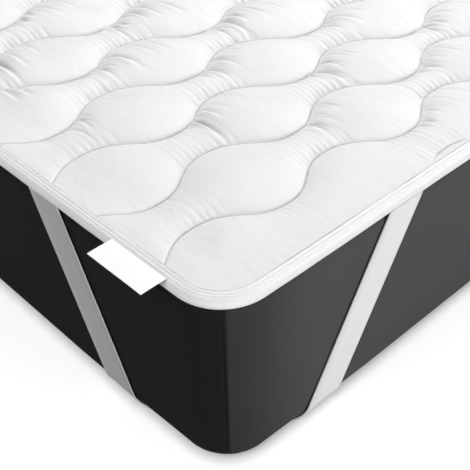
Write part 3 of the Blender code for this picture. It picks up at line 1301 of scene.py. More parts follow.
    def height(self, patch: Patch) -> np.ndarray:
        """All the gathers of one channel.

        Args:
            patch: The channel's grid.

        Returns:
            Heights to add to the crown.
        """
        channel, x, y, low, high = patch
        share = np.clip((y - low) / (high - low), 0.0, 1.0)
        below, above = np.maximum(high - y, 0.0), np.maximum(y - low, 0.0)
        total = self.puckers(x, below, channel) + self.puckers(x, above, channel - 1)
        total += self.unevenness(x, y) * np.sin(np.pi * share)
        strengths = {(neck.channel, neck.turn): neck for neck in NECKS}
        turns = math.ceil(2 * self.quilting.outline.half_length / self.quilting.wave_length)
        for turn in range(turns + 1):
            middle = self.quilting.neck_x(channel, turn)
            dice = np.random.default_rng(self.neck_seed + 1000 * channel + turn)
            first, last = np.searchsorted(x[0], (middle - self.neck_before, middle + self.neck_after))
            if last - first < 3:
                continue
            part = np.s_[:, first:last]
            neck = strengths.get((channel, turn))
            if neck is None:
                neck = Neck(channel, turn, dice.uniform(0.8, 1.05), dice.uniform(0.4, 0.7))
            spot = Spot(middle, x[part], share[part], below[part], dice)
            total[part] += self.ridges(spot, neck.ridges)
            total[part] += self.side_ridges(spot, neck.side_ridges)
            total[part] += self.pinches(spot, neck.ridges)
            rows = [row for row in FOLDS if (row.channel, row.turn) == (channel, turn)]
            if not rows and (channel, turn) not in strengths:
                rows = self.unseen_folds(channel, turn, dice)
            for row in rows:
                total[part] += self.fold(spot, row)
            if rows:
                total[part] += self.ripples(spot, rows)
        inside = self.quilting.outline.depth_inside(x, y, self.quilting.edge_offset)
        return total * smooth_step(inside / self.edge_fade)


@dataclass(frozen=True)
class QuiltedPad:
    """The topper's filled pad: one closed channel of filling between each two seams."""

    quilting: Quilting
    gathers: Gathers
    fine_spacing: float = 0.0011
    coarse_spacing: float = 0.0019
    neck_plateau: float = 1.4
    survey_count: int = 8001
    far_growth: float = 2.6
    far_start: float = -0.36
    far_reach: float = 0.10
    seen_channels: int = 8
    row_count: int = 30
    rim_row_count: int = 5
    row_grading: float = 0.55
    groove_rows: tuple[float, ...] = (0.0, 0.0004, 0.0009, 0.0016, 0.0026)
    rim_strip: float = 0.003
    corner_columns: int = 30
    # How deep a fold is where its painted shade is full, and how sharply that shade grows
    crease_shade_depth: float = 0.0034
    crease_shade_sharpness: float = 1.6

    def columns(self, channel: int) -> np.ndarray:
        """Grid columns along the bed: close together round the corners and where the cloth gathers.

        Args:
            channel: Which channel.

        Returns:
            Their places along the bed.
        """
        outline, offset = self.quilting.outline, self.quilting.edge_offset
        end, radius = outline.half_length + offset, outline.corner_radius + offset
        curve = -end + radius * (1 - np.cos(np.linspace(0, np.pi / 2, self.corner_columns + 1)))
        survey = np.linspace(curve[-1], -curve[-1], self.survey_count)
        from_neck = survey - self.quilting.neck_x(channel, 0)
        near_neck = 0.5 + 0.5 * np.cos(2 * np.pi * from_neck / self.quilting.wave_length)
        finer = (self.fine_spacing - self.coarse_spacing) * smooth_step(self.neck_plateau * near_neck)
        spacing = self.coarse_spacing + finer
        start = self.far_start if channel < self.seen_channels else -end - self.far_reach
        spacing *= 1.0 + self.far_growth * smooth_step((survey - start) / self.far_reach)
        steps = np.concatenate([[0.0], np.cumsum(np.diff(survey) / spacing[:-1])])
        count = math.ceil(steps[-1])
        straight = np.interp(np.linspace(0, steps[-1], count + 1), steps, survey)
        return np.concatenate([curve[:-1], straight, -curve[:-1][::-1]])

    def rows_between(self, low: np.ndarray, high: np.ndarray) -> np.ndarray:
        """Rows from one seam to the next, closest together in the two grooves.

        Args:
            low: The -Y seam.
            high: The +Y seam.

        Returns:
            The places across the bed, as rows by columns.
        """
        groove = np.array(self.groove_rows)[:, None]
        shares = graded(self.row_count, self.row_grading)[:, None]
        inner = low + groove[-1] + shares * (high - low - 2 * groove[-1])
        return np.concatenate([low + groove[:-1], inner, high - groove[:-1][::-1]])

    def edge_rows(self, channel: int, x: np.ndarray, low: np.ndarray, high: np.ndarray) -> np.ndarray:
        """Rows of the first or the last channel, with a strip of its own outside the border's seam.

        Args:
            channel: Which of the two.
            x: Its columns.
            low: Its -Y side.
            high: Its +Y side.

        Returns:
            The places across the bed, as rows by columns.
        """
        border = self.quilting.border_seam(channel, x)
        strip = np.linspace(0.0, 1.0, self.rim_row_count + 1)[:-1, None]
        if channel == 0:
            border = np.maximum(border, low + self.rim_strip)
            return np.concatenate([low + strip * (border - low), self.rows_between(border, high)])
        border = np.minimum(border, high - self.rim_strip)
        rim = border + (1.0 - strip[::-1]) * (high - border)
        return np.concatenate([self.rows_between(low, border), rim])

    def patch(self, channel: int) -> Patch:
        """Lay the grid of a channel.

        Args:
            channel: Which channel.

        Returns:
            The grid.
        """
        x, last = self.columns(channel), self.quilting.seam_count
        edge = self.quilting.outline.half_width_at(x, self.quilting.edge_offset)
        low = -edge if channel == 0 else self.quilting.seam_y(channel - 1, x)
        high = edge if channel == last else self.quilting.seam_y(channel, x)
        if 0 < channel < last:
            y = self.rows_between(low, high)
        else:
            y = self.edge_rows(channel, x, low, high)
        return Patch(channel, *(np.broadcast_to(places, y.shape) for places in (x, y, low, high)))

    def build_channel(self, channel: int, finish: bpy.types.Material) -> bpy.types.Object:
        """Build one channel as a closed solid.

        Args:
            channel: Which channel.
            finish: Its cloth.

        Returns:
            The piece.
        """
        patch = self.patch(channel)
        base, kept = self.quilting.flat_edge(patch.x, patch.y)
        crown = kept * self.quilting.crown(patch)
        gathered = self.gathers.height(patch)
        room = self.gathers.least_room + crown
        sunk = room * (np.exp(np.minimum(gathered, 0.0) / room) - 1.0)
        gathered = np.where(gathered < 0.0, sunk, gathered)
        level = base + self.quilting.shoulder(patch) + crown + gathered
        top = np.stack([patch.x, patch.y, MATTRESS_HEIGHT + level], axis=-1).transpose(1, 0, 2)
        under = np.stack([top[:, -1], top[:, 0]], axis=1)
        under[:, :, 2] = MATTRESS_HEIGHT + GAP
        points, faces = lofted(np.concatenate([top, under], axis=1))
        piece = add_mesh(f"pad_channel_{channel:02d}", points, faces, sharp_angle=60.0)
        # Painted shade in the folds, from how deep the cloth is gathered there
        crease_shade = np.zeros((top.shape[0], top.shape[1] + under.shape[1]))
        share = np.clip(-gathered / self.crease_shade_depth, 0.0, 1.0)
        crease_shade[:, : top.shape[1]] = share.T**self.crease_shade_sharpness
        piece.data.attributes.new(CREASE_SHADE, "FLOAT", "POINT").data.foreach_set("value", crease_shade.ravel())
        dress(piece, finish, Slot.PAD, "quilted_pad")
        return piece

    def build(self) -> None:
        """Build all the channels."""
        finish = PAD_CLOTH.material()
        for channel in range(self.quilting.seam_count + 1):
            self.build_channel(channel, finish)


# Stitches


# Place along a stitch, its girth there and how far it is lifted, as shares
SPINDLE = ((0.0, 0.4, -0.3), (0.5, 1.1, 1.0), (1.0, 0.4, -0.3))
SPINDLE_CORNERS = (90, 210, 330)


@dataclass(frozen=True)
class StitchRow:
    """A row of thread stitches, each a small spindle that dips into the cloth at both ends."""

    name: str
    pitch: float
    radius: float
    rise: float
    stitch_share: float = 0.72

    def build(self, path: np.ndarray, finish: bpy.types.Material, slot: Slot) -> bpy.types.Object:
        """Lay the stitches along a path.

        Args:
            path: Points on the cloth, close together.
            finish: The thread's material.
            slot: The record's slot that the thread belongs to.

        Returns:
            One piece with all the stitches.
        """
        distance = walked(path)
        count = int(distance[-1] / self.pitch)
        places, girths, lifts = np.array(SPINDLE).T
        along = (np.arange(count) * self.pitch)[:, None] + places * self.stitch_share * self.pitch
        centre = np.stack([np.interp(along, distance, path[:, axis]) for axis in range(3)], axis=-1)
        centre[:, :, 2] += lifts * self.rise
        heading = unit(centre[:, -1] - centre[:, 0])
        side = unit(np.cross((0.0, 0.0, 1.0), heading))
        top = np.cross(heading, side)
        angles = np.radians(SPINDLE_CORNERS)[:, None]
        ring = np.cos(angles) * side[:, None, None, :] + np.sin(angles) * top[:, None, None, :]
        points = centre[:, :, None, :] + (girths * self.radius)[:, None, None] * ring
        one, faces = lofted(points[0])
        shifts = [len(one) * stitch for stitch in range(count)]
        all_faces = [tuple(number + shift for number in face) for shift in shifts for face in faces]
        piece = add_mesh(self.name, points.reshape(-1, 3), all_faces, sharp_angle=80.0)
        return dress(piece, finish, slot)


@dataclass(frozen=True)
class SeamStitches:
    """The quilting thread, seen as stitches at the bottom of each seam."""

    quilting: Quilting
    end_gap: float = 0.004
    spacing: float = 0.003
    sink: float = 0.0001
    pitch: float = 0.0040
    radius: float = 0.00038
    rise: float = 0.0004

    def build(self) -> None:
        """Build the stitches of every seam."""
        finish = STITCH_THREAD.material()
        end = self.quilting.outline.half_length - self.end_gap
        x = np.arange(-end, end, self.spacing)
        for seam in range(self.quilting.seam_count):
            y = self.quilting.seam_y(seam, x)
            base, _ = self.quilting.flat_edge(x, y)
            path = np.stack([x, y, MATTRESS_HEIGHT + base - self.sink], axis=-1)
            row = StitchRow(f"seam_stitches_{seam:02d}", self.pitch, self.radius, self.rise)
            row.build(path, finish, Slot.PAD)


# Edge binding


@dataclass(frozen=True)
class EdgeBinding:
    """Woven tape folded over the pad's rim, with a stitched groove and a pressed fold along its top."""

    outline: Outline
    overhang: float = 0.0036
    height: float = TAPE_HEIGHT
    thickness: float = 0.0009
    groove_offset: float = -0.0045
    groove_level: float = 0.0098
    fold_offset: float = -0.0013
    fold_level: float = 0.0092
    inner_offset: float = -0.0086
    spacing: float = 0.0076
    corner_steps: int = 30
    face_middle: float = 0.0055
    tick_pitch: float = 0.0048
    tick_height: float = 0.00009
    tick_drift: tuple[float, float, float] = (1.3, 41.0, 0.0)
    wander: tuple[tuple[float, float, float], ...] = ((0.0003, 23.0, 0.0), (0.0002, 57.0, 1.0))
    stitch_spacing: float = 0.004
    stitch_corner_steps: int = 24
    stitch_pitch: float = 0.0036
    stitch_radius: float = 0.00032
    stitch_rise: float = 0.00025

    def section(self) -> np.ndarray:
        """Outer side of the tape, from its lower inner edge round to its upper inner edge.

        Returns:
            One (offset, level) row for each point.
        """
        out, high, fold = self.overhang, GAP + self.height, self.fold_offset
        groove, inner = self.groove_offset, self.inner_offset
        return np.array([
            (out - 0.0056, GAP),
            (out - 0.0024, GAP),
            (out - 0.0009, 0.0008),
            (out - 0.0001, 0.0020),
            (out, 0.0034),
            (out - 0.0002, 0.0052),
            (out - 0.0007, 0.0070),
            (out - 0.0016, 0.0083),
            (out - 0.0030, 0.0091),
            (fold + 0.0006, 0.0095),
            (fold + 0.0002, 0.0095),
            (fold, self.fold_level),
            (fold - 0.0003, 0.0096),
            (fold - 0.0008, 0.0099),
            (fold - 0.0018, 0.0101),
            (groove + 0.0004, 0.0102),
            (groove, self.groove_level),
            (groove - 0.0004, 0.0103),
            (groove - 0.0011, high - 0.0003),
            (groove - 0.0028, high),
            (inner + 0.0013, high - 0.0001),
            (inner + 0.0004, high - 0.0004),
            (inner, high - 0.0009),
        ])

    def build(self) -> bpy.types.Object:
        """Build the tape.

        Returns:
            The piece.
        """
        points, outward = self.outline.walk(self.spacing, self.corner_steps)
        outer = self.section()
        heading = unit(np.gradient(outer, axis=0))
        inner = outer + self.thickness * np.stack([-heading[:, 1], heading[:, 0]], axis=-1)
        loop = np.concatenate([outer, inner[::-1]])
        distance = walked(np.concatenate([points, points[:1]]))
        along = distance[:-1]
        turns = 2 * np.pi * along / self.tick_pitch
        ticks = self.tick_height * np.sin(turns + waves(along, self.tick_drift))
        face = np.clip(1.0 - np.abs(loop[:, 1] - self.face_middle) / self.face_middle, 0.0, 1.0)
        drawn_in = np.abs(waves(along, *self.wander))[:, None] + np.abs(ticks)[:, None] * face
        plan = points[:, None, :] + (loop[:, 0] - drawn_in)[:, :, None] * outward[:, None, :]
        height = np.broadcast_to(MATTRESS_HEIGHT + loop[:, 1, None], (*plan.shape[:2], 1))
        mesh_points, faces = lofted(np.concatenate([plan, height], axis=-1), closed_run=True)
        piece = add_mesh("binding_tape", mesh_points, faces, sharp_angle=60.0)
        lay_map(piece, np.repeat(along, len(loop)), np.tile(walked(loop), len(points)))
        dress(piece, EDGE_TAPE.material(), Slot.TAPE, "edge_binding")
        return piece

    def build_stitches(self) -> None:
        """Sew the tape down along its two grooves."""
        finish = STITCH_THREAD.material()
        points, outward = self.outline.walk(self.stitch_spacing, self.stitch_corner_steps)
        high = GAP + self.height
        for name, offset, level in (
            ("binding_stitches_outer", self.groove_offset, self.groove_level + 0.0001),
            ("binding_stitches_inner", self.inner_offset + 0.0010, high - 0.0002),
        ):
            plan = points + offset * outward
            path = np.concatenate([plan, np.full((len(plan), 1), MATTRESS_HEIGHT + level)], axis=1)
            row = StitchRow(name, self.stitch_pitch, self.stitch_radius, self.stitch_rise)
            row.build(path, finish, Slot.TAPE)


# Elastic bands


class BandRoute(NamedTuple):
    """One corner's band: how far its middle is from the corner, at the floor and at the binding."""

    node: str
    x_sign: int
    y_sign: int
    end_foot: float
    end_top: float
    side_foot: float
    side_top: float


BAND_ROUTES = (
    BandRoute("corner_band_label_end_right", -1, -1, 0.1440, 0.2370, 0.1220, 0.2285),
    BandRoute("corner_band_label_end_left", -1, 1, 0.1400, 0.2350, 0.1250, 0.2300),
    BandRoute("corner_band_far_end_right", 1, -1, 0.1420, 0.2360, 0.1230, 0.2290),
    BandRoute("corner_band_far_end_left", 1, 1, 0.1380, 0.2340, 0.1260, 0.2310),
)

# Half of the elastic's outer side, from its middle to its edge, with a thicker selvedge: place
# across from 0 to 1, and share of the thickness
ELASTIC_OUTER = (
    (0.0, 0.70),
    (0.5, 0.72),
    (0.84, 0.74),
    (0.87, 0.92),
    (0.93, 1.0),
    (0.985, 0.92),
    (1.0, 0.55),
)
ELASTIC_INNER = ((1.0, 0.2), (0.6, 0.0), (0.0, 0.0), (-0.6, 0.0), (-1.0, 0.2))


@dataclass(frozen=True)
class CornerBand:
    """Elastic that slants down one face, round and under the corner, and up the other face."""

    route: BandRoute
    width: float = 0.0412
    thickness: float = 0.0015
    stand_off: float = 0.0009
    foot_radius: float = 0.015
    foot_steps: int = 12
    face_steps: int = 24
    under_steps: int = 16

    def face_run(self, foot: float, top: float, end_slope: float) -> np.ndarray:
        """Stations down one face and round the mattress's lower edge.

        Args:
            foot: Distance of the band's middle from the corner at the floor.
            top: The same at the mattress's upper face.
            end_slope: The band's slant where it reaches the mattress's underside.

        Returns:
            One (turn, height, middle, stretch of the half width) row for each station.
        """
        slope = (top - foot) / MATTRESS_HEIGHT
        rows = []
        for height in np.linspace(MATTRESS_HEIGHT - GAP, self.foot_radius, self.face_steps, endpoint=False):
            rows.append((0.0, height, foot + slope * height, math.hypot(1.0, slope)))
        for turn in np.linspace(0.0, math.pi / 2, self.foot_steps + 1):
            growth = (end_slope - slope) * turn * turn / math.pi
            middle = foot + slope * self.foot_radius - self.foot_radius * (slope * turn + growth)
            here = slope + (end_slope - slope) * turn / (math.pi / 2)
            rows.append((turn, self.foot_radius, middle, math.hypot(1.0, here)))
        return np.array(rows)

    def under_slope(self) -> float:
        """Slant of the band's straight run under the mattress."""
        route, radius = self.route, self.foot_radius
        quarter = radius * math.pi / 4
        end_slant = (route.end_top - route.end_foot) / MATTRESS_HEIGHT
        side_slant = (route.side_top - route.side_foot) / MATTRESS_HEIGHT
        rise = route.end_foot + end_slant * radius - radius + quarter * (1 - end_slant)
        run = route.side_foot + side_slant * radius - radius + quarter * (1 - side_slant)
        return rise / run

    def section(self) -> np.ndarray:
        """Section of the elastic, once round.

        Returns:
            One (share across from -1 to 1, share of the thickness) row for each point.
        """
        left = [(-across, height) for across, height in ELASTIC_OUTER[:0:-1]]
        return np.array([*left, *ELASTIC_OUTER, *ELASTIC_INNER])

    def stations(self) -> np.ndarray:
        """Sections of the band from its end on the end face to its end on the long side.

        Returns:
            Points, as stations by section by 3.
        """
        route, slant = self.route, self.under_slope()
        under = -(GAP + self.thickness)
        runs = []
        for on_end, foot, top, end_slope in (
            (True, route.end_foot, route.end_top, slant),
            (False, route.side_foot, route.side_top, 1 / slant),
        ):
            sections = []
            for turn, height, middle, stretch in self.face_run(foot, top, end_slope):
                inner = self.stand_off + (under - self.stand_off) * turn / (math.pi / 2)
                points = []
                for across, share in self.section():
                    reach = self.foot_radius + inner + share * self.thickness
                    inwards = self.foot_radius - reach * math.cos(turn)
                    along = middle + across * self.width / 2 * stretch
                    from_end, from_side = (inwards, along) if on_end else (along, inwards)
                    x = route.x_sign * (HALF_LENGTH - from_end)
                    y = route.y_sign * (HALF_WIDTH - from_side)
                    points.append((x, y, height - reach * math.sin(turn)))
                sections.append(points)
            runs.append(np.array(sections))
        side = runs[1][::-1]
        first, last = runs[0][-1], side[0]
        shares = np.linspace(0.0, 1.0, self.under_steps + 1)[1:-1, None, None]
        return np.concatenate([runs[0], first + shares * (last - first), side])

    def build(self, finish: bpy.types.Material) -> bpy.types.Object:
        """Build the band.

        Args:
            finish: The elastic's material.

        Returns:
            The piece.
        """
        stations = self.stations()
        points, faces = lofted(stations)
        name = self.route.node.replace("corner_band", "elastic")
        piece = add_mesh(name, points, faces, sharp_angle=50.0)
        along = walked(stations.mean(axis=1))
        across = (self.section()[:, 0] + 1.0) * self.width / 2
        lay_map(piece, np.repeat(along, len(across)), np.tile(across, len(along)))
        dress(piece, finish, Slot.ELASTIC, self.route.node)
        return piece


# Label


@dataclass(frozen=True)
class Label:
    """Short satin ribbon sewn in at the binding, with cut ends and a slight curl."""

    near_end: float = -HALF_WIDTH + 0.0604
    length: float = 0.0704
    inner_offset: float = 0.0016
    outer_offset: float = 0.0280
    level: float = GAP + TAPE_HEIGHT + GAP
    thickness: float = 0.0006
    droop: float = 0.0010
    droop_start: float = 0.25
    curl: tuple[tuple[float, float, float], ...] = ((0.0003, math.pi, 0.0), (0.00018, 2 * math.pi, 0.6))
    steps_out: int = 14
    steps_along: int = 36

    def build(self) -> bpy.types.Object:
        """Build the label.

        Returns:
            The piece.
        """
        out = np.linspace(0.0, 1.0, self.steps_out + 1)
        along = np.linspace(0.0, 1.0, self.steps_along + 1)
        share_out, share_along = np.meshgrid(out, along, indexing="ij")
        width = self.outer_offset - self.inner_offset
        x = -HALF_LENGTH - self.inner_offset - share_out * width
        y = self.near_end + share_along * self.length
        droop = self.droop * np.maximum(share_out - self.droop_start, 0.0) ** 2
        z = MATTRESS_HEIGHT + self.level - droop + waves(share_along, *self.curl) * share_out
        upper = np.stack([x, y, z + self.thickness], axis=-1)
        lower = np.stack([x, y, z], axis=-1)
        points, faces = lofted(np.concatenate([upper, lower[:, ::-1]], axis=1))
        piece = add_mesh("satin_label", points, faces, sharp_angle=50.0)
        mapped = np.concatenate([share_along, share_along[:, ::-1]], axis=1).ravel() * self.length
        lay_map(piece, mapped, np.repeat(out * width, 2 * (self.steps_along + 1)))
        dress(piece, LABEL_SATIN.material(), Slot.SATIN, "label")
        return piece


# Mattress


@dataclass(frozen=True)
class Mattress:
    """Plain foam mattress in a dark knitted cover that is seamed down its corners.

    The bands draw its corners in near the floor and press into its foam where they go under it.
    """

    outline: Outline
    bands: tuple[CornerBand, ...]
    spine: float = 0.55
    top_radius: float = 0.012
    top_steps: int = 8
    top_shares: tuple[float, ...] = (0.5, 0.25, 0.08)
    foot_radius: float = 0.015
    foot_steps: int = 10
    face_rows: int = 22
    under_start: float = 0.02
    under_end: float = 0.50
    under_rows: int = 16
    spacing: float = 0.0085
    corner_steps: int = 60
    seam_width: float = 1.1
    seam_depth: float = 0.0013
    pulls: tuple[tuple[float, float, float], ...] = ((0.0009, 18.0, 3.5), (0.00045, -13.0, 5.0))
    sag: float = 0.0003
    sag_share: float = 0.5
    sways: tuple[tuple[float, float, float], ...] = ((-0.6, 0.53, 7.0), (1.0, 0.29, -11.0))
    facing_reach: float = 0.110
    tuck: float = 0.0045
    tuck_height: float = 0.060
    tuck_reach: float = 0.150
    press_depth: float = 0.0024
    press_reach: float = 0.050
    under_reach: float = 0.040
    press_start: float = 0.014
    press_rise: float = 0.012
    band_reach: float = 0.022
    foot_height: float = 0.030
    near_height: float = 0.040
    near_reach: float = 0.25
    off_floor: float = 0.0005

    def profile(self) -> np.ndarray:
        """Section of the mattress's side from its upper face down to its underside.

        Returns:
            One (offset, height, share of the way to the middle) row for each point.
        """
        rows = [(-self.top_radius, MATTRESS_HEIGHT, share) for share in self.top_shares]
        for turn in np.linspace(0, math.pi / 2, self.top_steps + 1):
            height = MATTRESS_HEIGHT - self.top_radius * (1 - math.cos(turn))
            rows.append((self.top_radius * (math.sin(turn) - 1), height, 0.0))
        heights = np.linspace(MATTRESS_HEIGHT - self.top_radius, self.foot_radius, self.face_rows + 1)
        rows.extend((0.0, height, 0.0) for height in heights[1:-1])
        for turn in np.linspace(0, math.pi / 2, self.foot_steps + 1):
            height = self.foot_radius * (1 - math.sin(turn))
            rows.append((self.foot_radius * (math.cos(turn) - 1), height, 0.0))
        under = np.linspace(self.under_start, self.under_end, self.under_rows)
        rows.extend((-self.foot_radius, 0.0, share) for share in under)
        return np.array(rows)

    def creases(self, points: np.ndarray, outward: np.ndarray) -> np.ndarray:
        """How far the cover stands in or out of its plane: soft pulls, and a seam down each corner.

        Args:
            points: Points, as round the outline by down the side by 3.
            outward: Outward directions round the outline.

        Returns:
            Distances outwards.
        """
        corner_angle = np.degrees(np.arctan2(np.abs(outward[:, 1]), np.abs(outward[:, 0])))
        is_corner = (np.abs(outward) > 1e-6).all(axis=1)
        from_seam = np.where(is_corner, corner_angle - CORNER_SEAM_ANGLE, 90.0)[:, None]
        seam = self.seam_depth * hump(from_seam, self.seam_width)
        pull = sum(depth * hump(from_seam - place, width) for depth, place, width in self.pulls)
        x, y, height = np.moveaxis(points, -1, 0)
        sway = np.zeros_like(height)
        for slant, length, rise in self.sways:
            sway += np.sin(2 * np.pi * (x + slant * y) / length + rise * height)
        fade = np.sqrt(np.sin(np.pi * np.clip(height / MATTRESS_HEIGHT, 0.0, 1.0)))
        return -(seam + pull + self.sag * (1 + self.sag_share * sway)) * fade

    def facing(self, plan: np.ndarray, outward: np.ndarray) -> np.ndarray:
        """Which way the cover looks for its painted shade, evened out over some way round the outline.

        Args:
            plan: Points round the outline.
            outward: Outward directions there.

        Returns:
            The directions.
        """
        distance = walked(np.concatenate([plan, plan[:1]]))
        here, whole = distance[:-1], distance[-1]
        summed = np.concatenate([[[0.0, 0.0]], np.cumsum(outward * np.diff(distance)[:, None], axis=0)])
        places = np.concatenate([here - whole, here, distance + whole])
        totals = np.concatenate([summed[:-1] - summed[-1], summed[:-1], summed + summed[-1]])
        before, after = (
            np.stack([np.interp(here + shift, places, totals[:, axis]) for axis in range(2)], axis=-1)
            for shift in (-self.facing_reach, self.facing_reach)
        )
        return unit(after - before)

    def tucked(self, points: np.ndarray) -> np.ndarray:
        """How far the bands draw the corners in near the floor.

        Args:
            points: Points, as any shape by 3.

        Returns:
            Distances inwards.
        """
        from_end = self.outline.half_length - np.abs(points[..., 0])
        from_side = self.outline.half_width - np.abs(points[..., 1])
        near = 1.0 - smooth_step(np.hypot(from_end, from_side) / self.tuck_reach)
        return self.tuck * near * smooth_step(1.0 - points[..., 2] / self.tuck_height)

    def press(self, points: np.ndarray) -> np.ndarray:
        """How far the bands press the foam up from the floor.

        Args:
            points: Points, as any shape by 3.

        Returns:
            Distances upwards.
        """
        depth = np.zeros(points.shape[:-1])
        for band in self.bands:
            line = band.stations().mean(axis=1)
            low = line[line[:, 2] < self.foot_height]
            near = (np.abs(points[..., :2] - low[:, :2].mean(axis=0)) < self.near_reach).all(axis=-1)
            near &= points[..., 2] < self.near_height
            chosen = points[near]
            gap = np.linalg.norm(chosen[:, None, :] - low[None, :, :], axis=-1).min(axis=1)
            rise = smooth_step((self.press_start - chosen[:, 2]) / self.press_rise)
            reach = np.where(chosen[:, 2] > self.off_floor, self.press_reach, self.under_reach)
            pressed = rise * (1.0 - smooth_step((gap - self.band_reach) / reach))
            depth[near] = np.maximum(depth[near], pressed)
        return self.press_depth * depth

    def build(self) -> bpy.types.Object:
        """Build the mattress.

        Returns:
            The piece.
        """
        plan, outward = self.outline.walk(self.spacing, self.corner_steps)
        profile = self.profile()
        middle = np.stack([np.clip(plan[:, 0], -self.spine, self.spine), np.zeros(len(plan))], axis=-1)
        flat = plan[:, None, :] + profile[None, :, 0, None] * outward[:, None, :]
        flat = flat + profile[None, :, 2, None] * (middle[:, None, :] - flat)
        height = np.broadcast_to(profile[None, :, 1, None], (*flat.shape[:2], 1))
        points = np.concatenate([flat, height], axis=-1)
        upwards = self.press(points)
        on_side = (profile[:, 2] == 0.0)[None, :]
        outwards = (self.creases(points, outward) - self.tucked(points)) * on_side
        points[:, :, :2] += outwards[:, :, None] * outward[:, None, :]
        points[:, :, 2] += upwards
        round_count, down_count = points.shape[:2]
        numbers = np.arange(round_count * down_count).reshape(round_count, down_count)
        after = np.roll(numbers, -1, axis=0)
        quads = np.stack([numbers[:, :-1], numbers[:, 1:], after[:, 1:], after[:, :-1]], axis=-1)
        faces = [tuple(quad) for quad in quads.reshape(-1, 4).tolist()]
        faces.append(tuple(numbers[:, 0].tolist()))
        faces.append(tuple(numbers[::-1, -1].tolist()))
        piece = add_mesh("mattress_cover", points.reshape(-1, 3), faces, sharp_angle=50.0)
        # The cover's painted shade follows this evened-out facing rather than its normals
        facing = np.repeat(self.facing(plan, outward), down_count, axis=0)
        dress(piece, COVER_KNIT.material(), Slot.COVER, "mattress", facing=facing)
        return piece


# Studio


class Lamp(NamedTuple):
    """One soft light, by the direction that it comes from. It is a far one, unless it has a distance."""

    name: str
    direction: tuple[float, float, float]
    strength: float
    softness: float
    distance: float = 0.0


LAMPS = (
    Lamp("key", (0.66, 0.21, 0.71), 3.95, 10.0, 4.2),
    Lamp("side", (0.15, -0.98, 0.10), 2.70, 40.0),
    Lamp("fill", (-0.72, -0.12, 0.68), 1.52, 40.0),
)


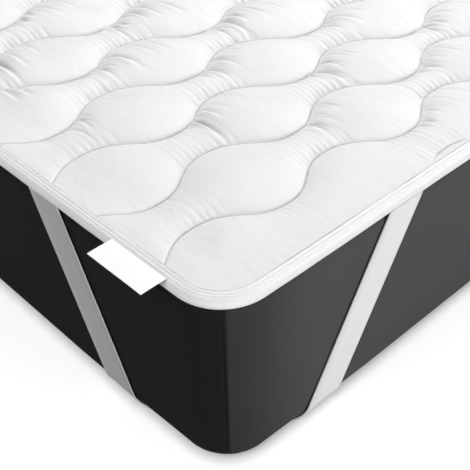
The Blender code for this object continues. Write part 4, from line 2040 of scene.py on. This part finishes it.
@dataclass(frozen=True)
class Studio:
    """Pale floor, soft light and the photograph's camera. Angles are in degrees."""

    camera_place: tuple[float, float, float] = (-1.3351, -0.8332, 0.7042)
    heading: float = 47.3
    pitch: float = 39.13
    roll: float = -1.27
    focal_pixels: float = 924.5
    image_width: float = 470.0
    sensor_width: float = 36.0
    floor_size: float = 30.0
    floor_level: float = -0.0002
    floor_bounce: float = 0.40
    floor_tone: float = 0.72
    floor_glow: float = 0.60
    contact_reach: float = 0.012
    contact_depth: float = 0.5
    sky: float = 0.16

    def build_camera(self) -> None:
        """Put the camera where the photograph was taken from."""
        heading, pitch, roll = (math.radians(angle) for angle in (self.heading, self.pitch, self.roll))
        level = Vector((math.cos(heading), math.sin(heading), 0.0))
        right = Vector((math.sin(heading), -math.cos(heading), 0.0))
        up = Vector((0.0, 0.0, 1.0))
        forward = math.cos(pitch) * level - math.sin(pitch) * up
        over = math.sin(pitch) * level + math.cos(pitch) * up
        turned_right = math.cos(roll) * right + math.sin(roll) * over
        turned_up = -math.sin(roll) * right + math.cos(roll) * over
        lens = bpy.data.cameras.new("camera")
        lens.sensor_width = self.sensor_width
        lens.lens = self.focal_pixels * self.sensor_width / self.image_width
        lens.clip_start = 0.01
        camera = bpy.data.objects.new("camera", lens)
        axes = Matrix((turned_right, turned_up, -forward)).transposed()
        camera.matrix_world = Matrix.Translation(self.camera_place) @ axes.to_4x4()
        bpy.context.scene.collection.objects.link(camera)
        bpy.context.scene.camera = camera

    def build_floor(self) -> None:
        """Lay a pale floor with a contact shadow. It isn't part of the object."""
        bpy.ops.object.select_all(action="DESELECT")
        bpy.ops.mesh.primitive_plane_add(size=self.floor_size, location=(0.0, 0.0, self.floor_level))
        floor = bpy.context.active_object
        floor.name = "studio_floor"
        material, sheet, shader = new_material("pale_floor")
        seen = sheet.add("ShaderNodeLightPath").outputs["Is Camera Ray"]
        open_share = sheet.add("ShaderNodeAmbientOcclusion", {"Distance": self.contact_reach}).outputs["AO"]
        clear = sheet.number("POWER", open_share, self.contact_depth)
        shown = sheet.blend(clear, BLACK, (self.floor_tone,) * 3 + (1.0,))
        colour = sheet.blend(seen, (self.floor_bounce,) * 3 + (1.0,), shown)
        glow = sheet.number("MULTIPLY", sheet.number("MULTIPLY", seen, self.floor_glow), clear)
        sheet.tree.links.new(colour, shader.inputs["Base Color"])
        sheet.tree.links.new(glow, shader.inputs["Emission Strength"])
        shader.inputs["Emission Color"].default_value = WHITE
        shader.inputs["Roughness"].default_value = 0.9
        shader.inputs["Specular IOR Level"].default_value = 0.0
        floor.data.materials.append(material)

    def build_lights(self) -> None:
        """Light the object from behind on the right, from the right and from the left, with an even sky."""
        world = bpy.data.worlds.new("studio")
        world.use_nodes = True
        background = world.node_tree.nodes["Background"]
        background.inputs["Color"].default_value = WHITE
        background.inputs["Strength"].default_value = self.sky
        bpy.context.scene.world = world
        for lamp in LAMPS:
            light = bpy.data.lights.new(lamp.name, "AREA" if lamp.distance else "SUN")
            if lamp.distance:
                light.shape = "DISK"
                light.size = 2 * lamp.distance * math.tan(math.radians(lamp.softness / 2))
                light.energy = lamp.strength * math.pi * lamp.distance**2
            else:
                light.angle = math.radians(lamp.softness)
                light.energy = lamp.strength
            holder = bpy.data.objects.new(lamp.name, light)
            holder.location = lamp.distance * Vector(lamp.direction).normalized()
            holder.rotation_mode = "QUATERNION"
            holder.rotation_quaternion = Vector(lamp.direction).to_track_quat("Z", "Y")
            bpy.context.scene.collection.objects.link(holder)
        bpy.context.scene.view_settings.view_transform = "Standard"

    def build(self) -> None:
        """Build the studio."""
        self.build_camera()
        self.build_floor()
        self.build_lights()


def main() -> None:
    """Build the studio and then the object, piece by piece."""
    logging.basicConfig(level=logging.INFO, format="%(name)s %(message)s")
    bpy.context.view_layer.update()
    Studio().build()
    build_fibre_group()
    build_rib_group()
    build_shade_group()
    topper_outline = Outline(corner_radius=0.048)
    mattress_outline = Outline(corner_radius=0.050)
    bands = tuple(CornerBand(route) for route in BAND_ROUTES)
    Mattress(mattress_outline, bands).build()
    quilting = Quilting(topper_outline)
    QuiltedPad(quilting, Gathers(quilting)).build()
    SeamStitches(quilting).build()
    binding = EdgeBinding(topper_outline)
    binding.build()
    binding.build_stitches()
    elastic = ELASTIC_RIB.material()
    for band in bands:
        band.build(elastic)
    Label().build()


if __name__ == "__main__":
    main()
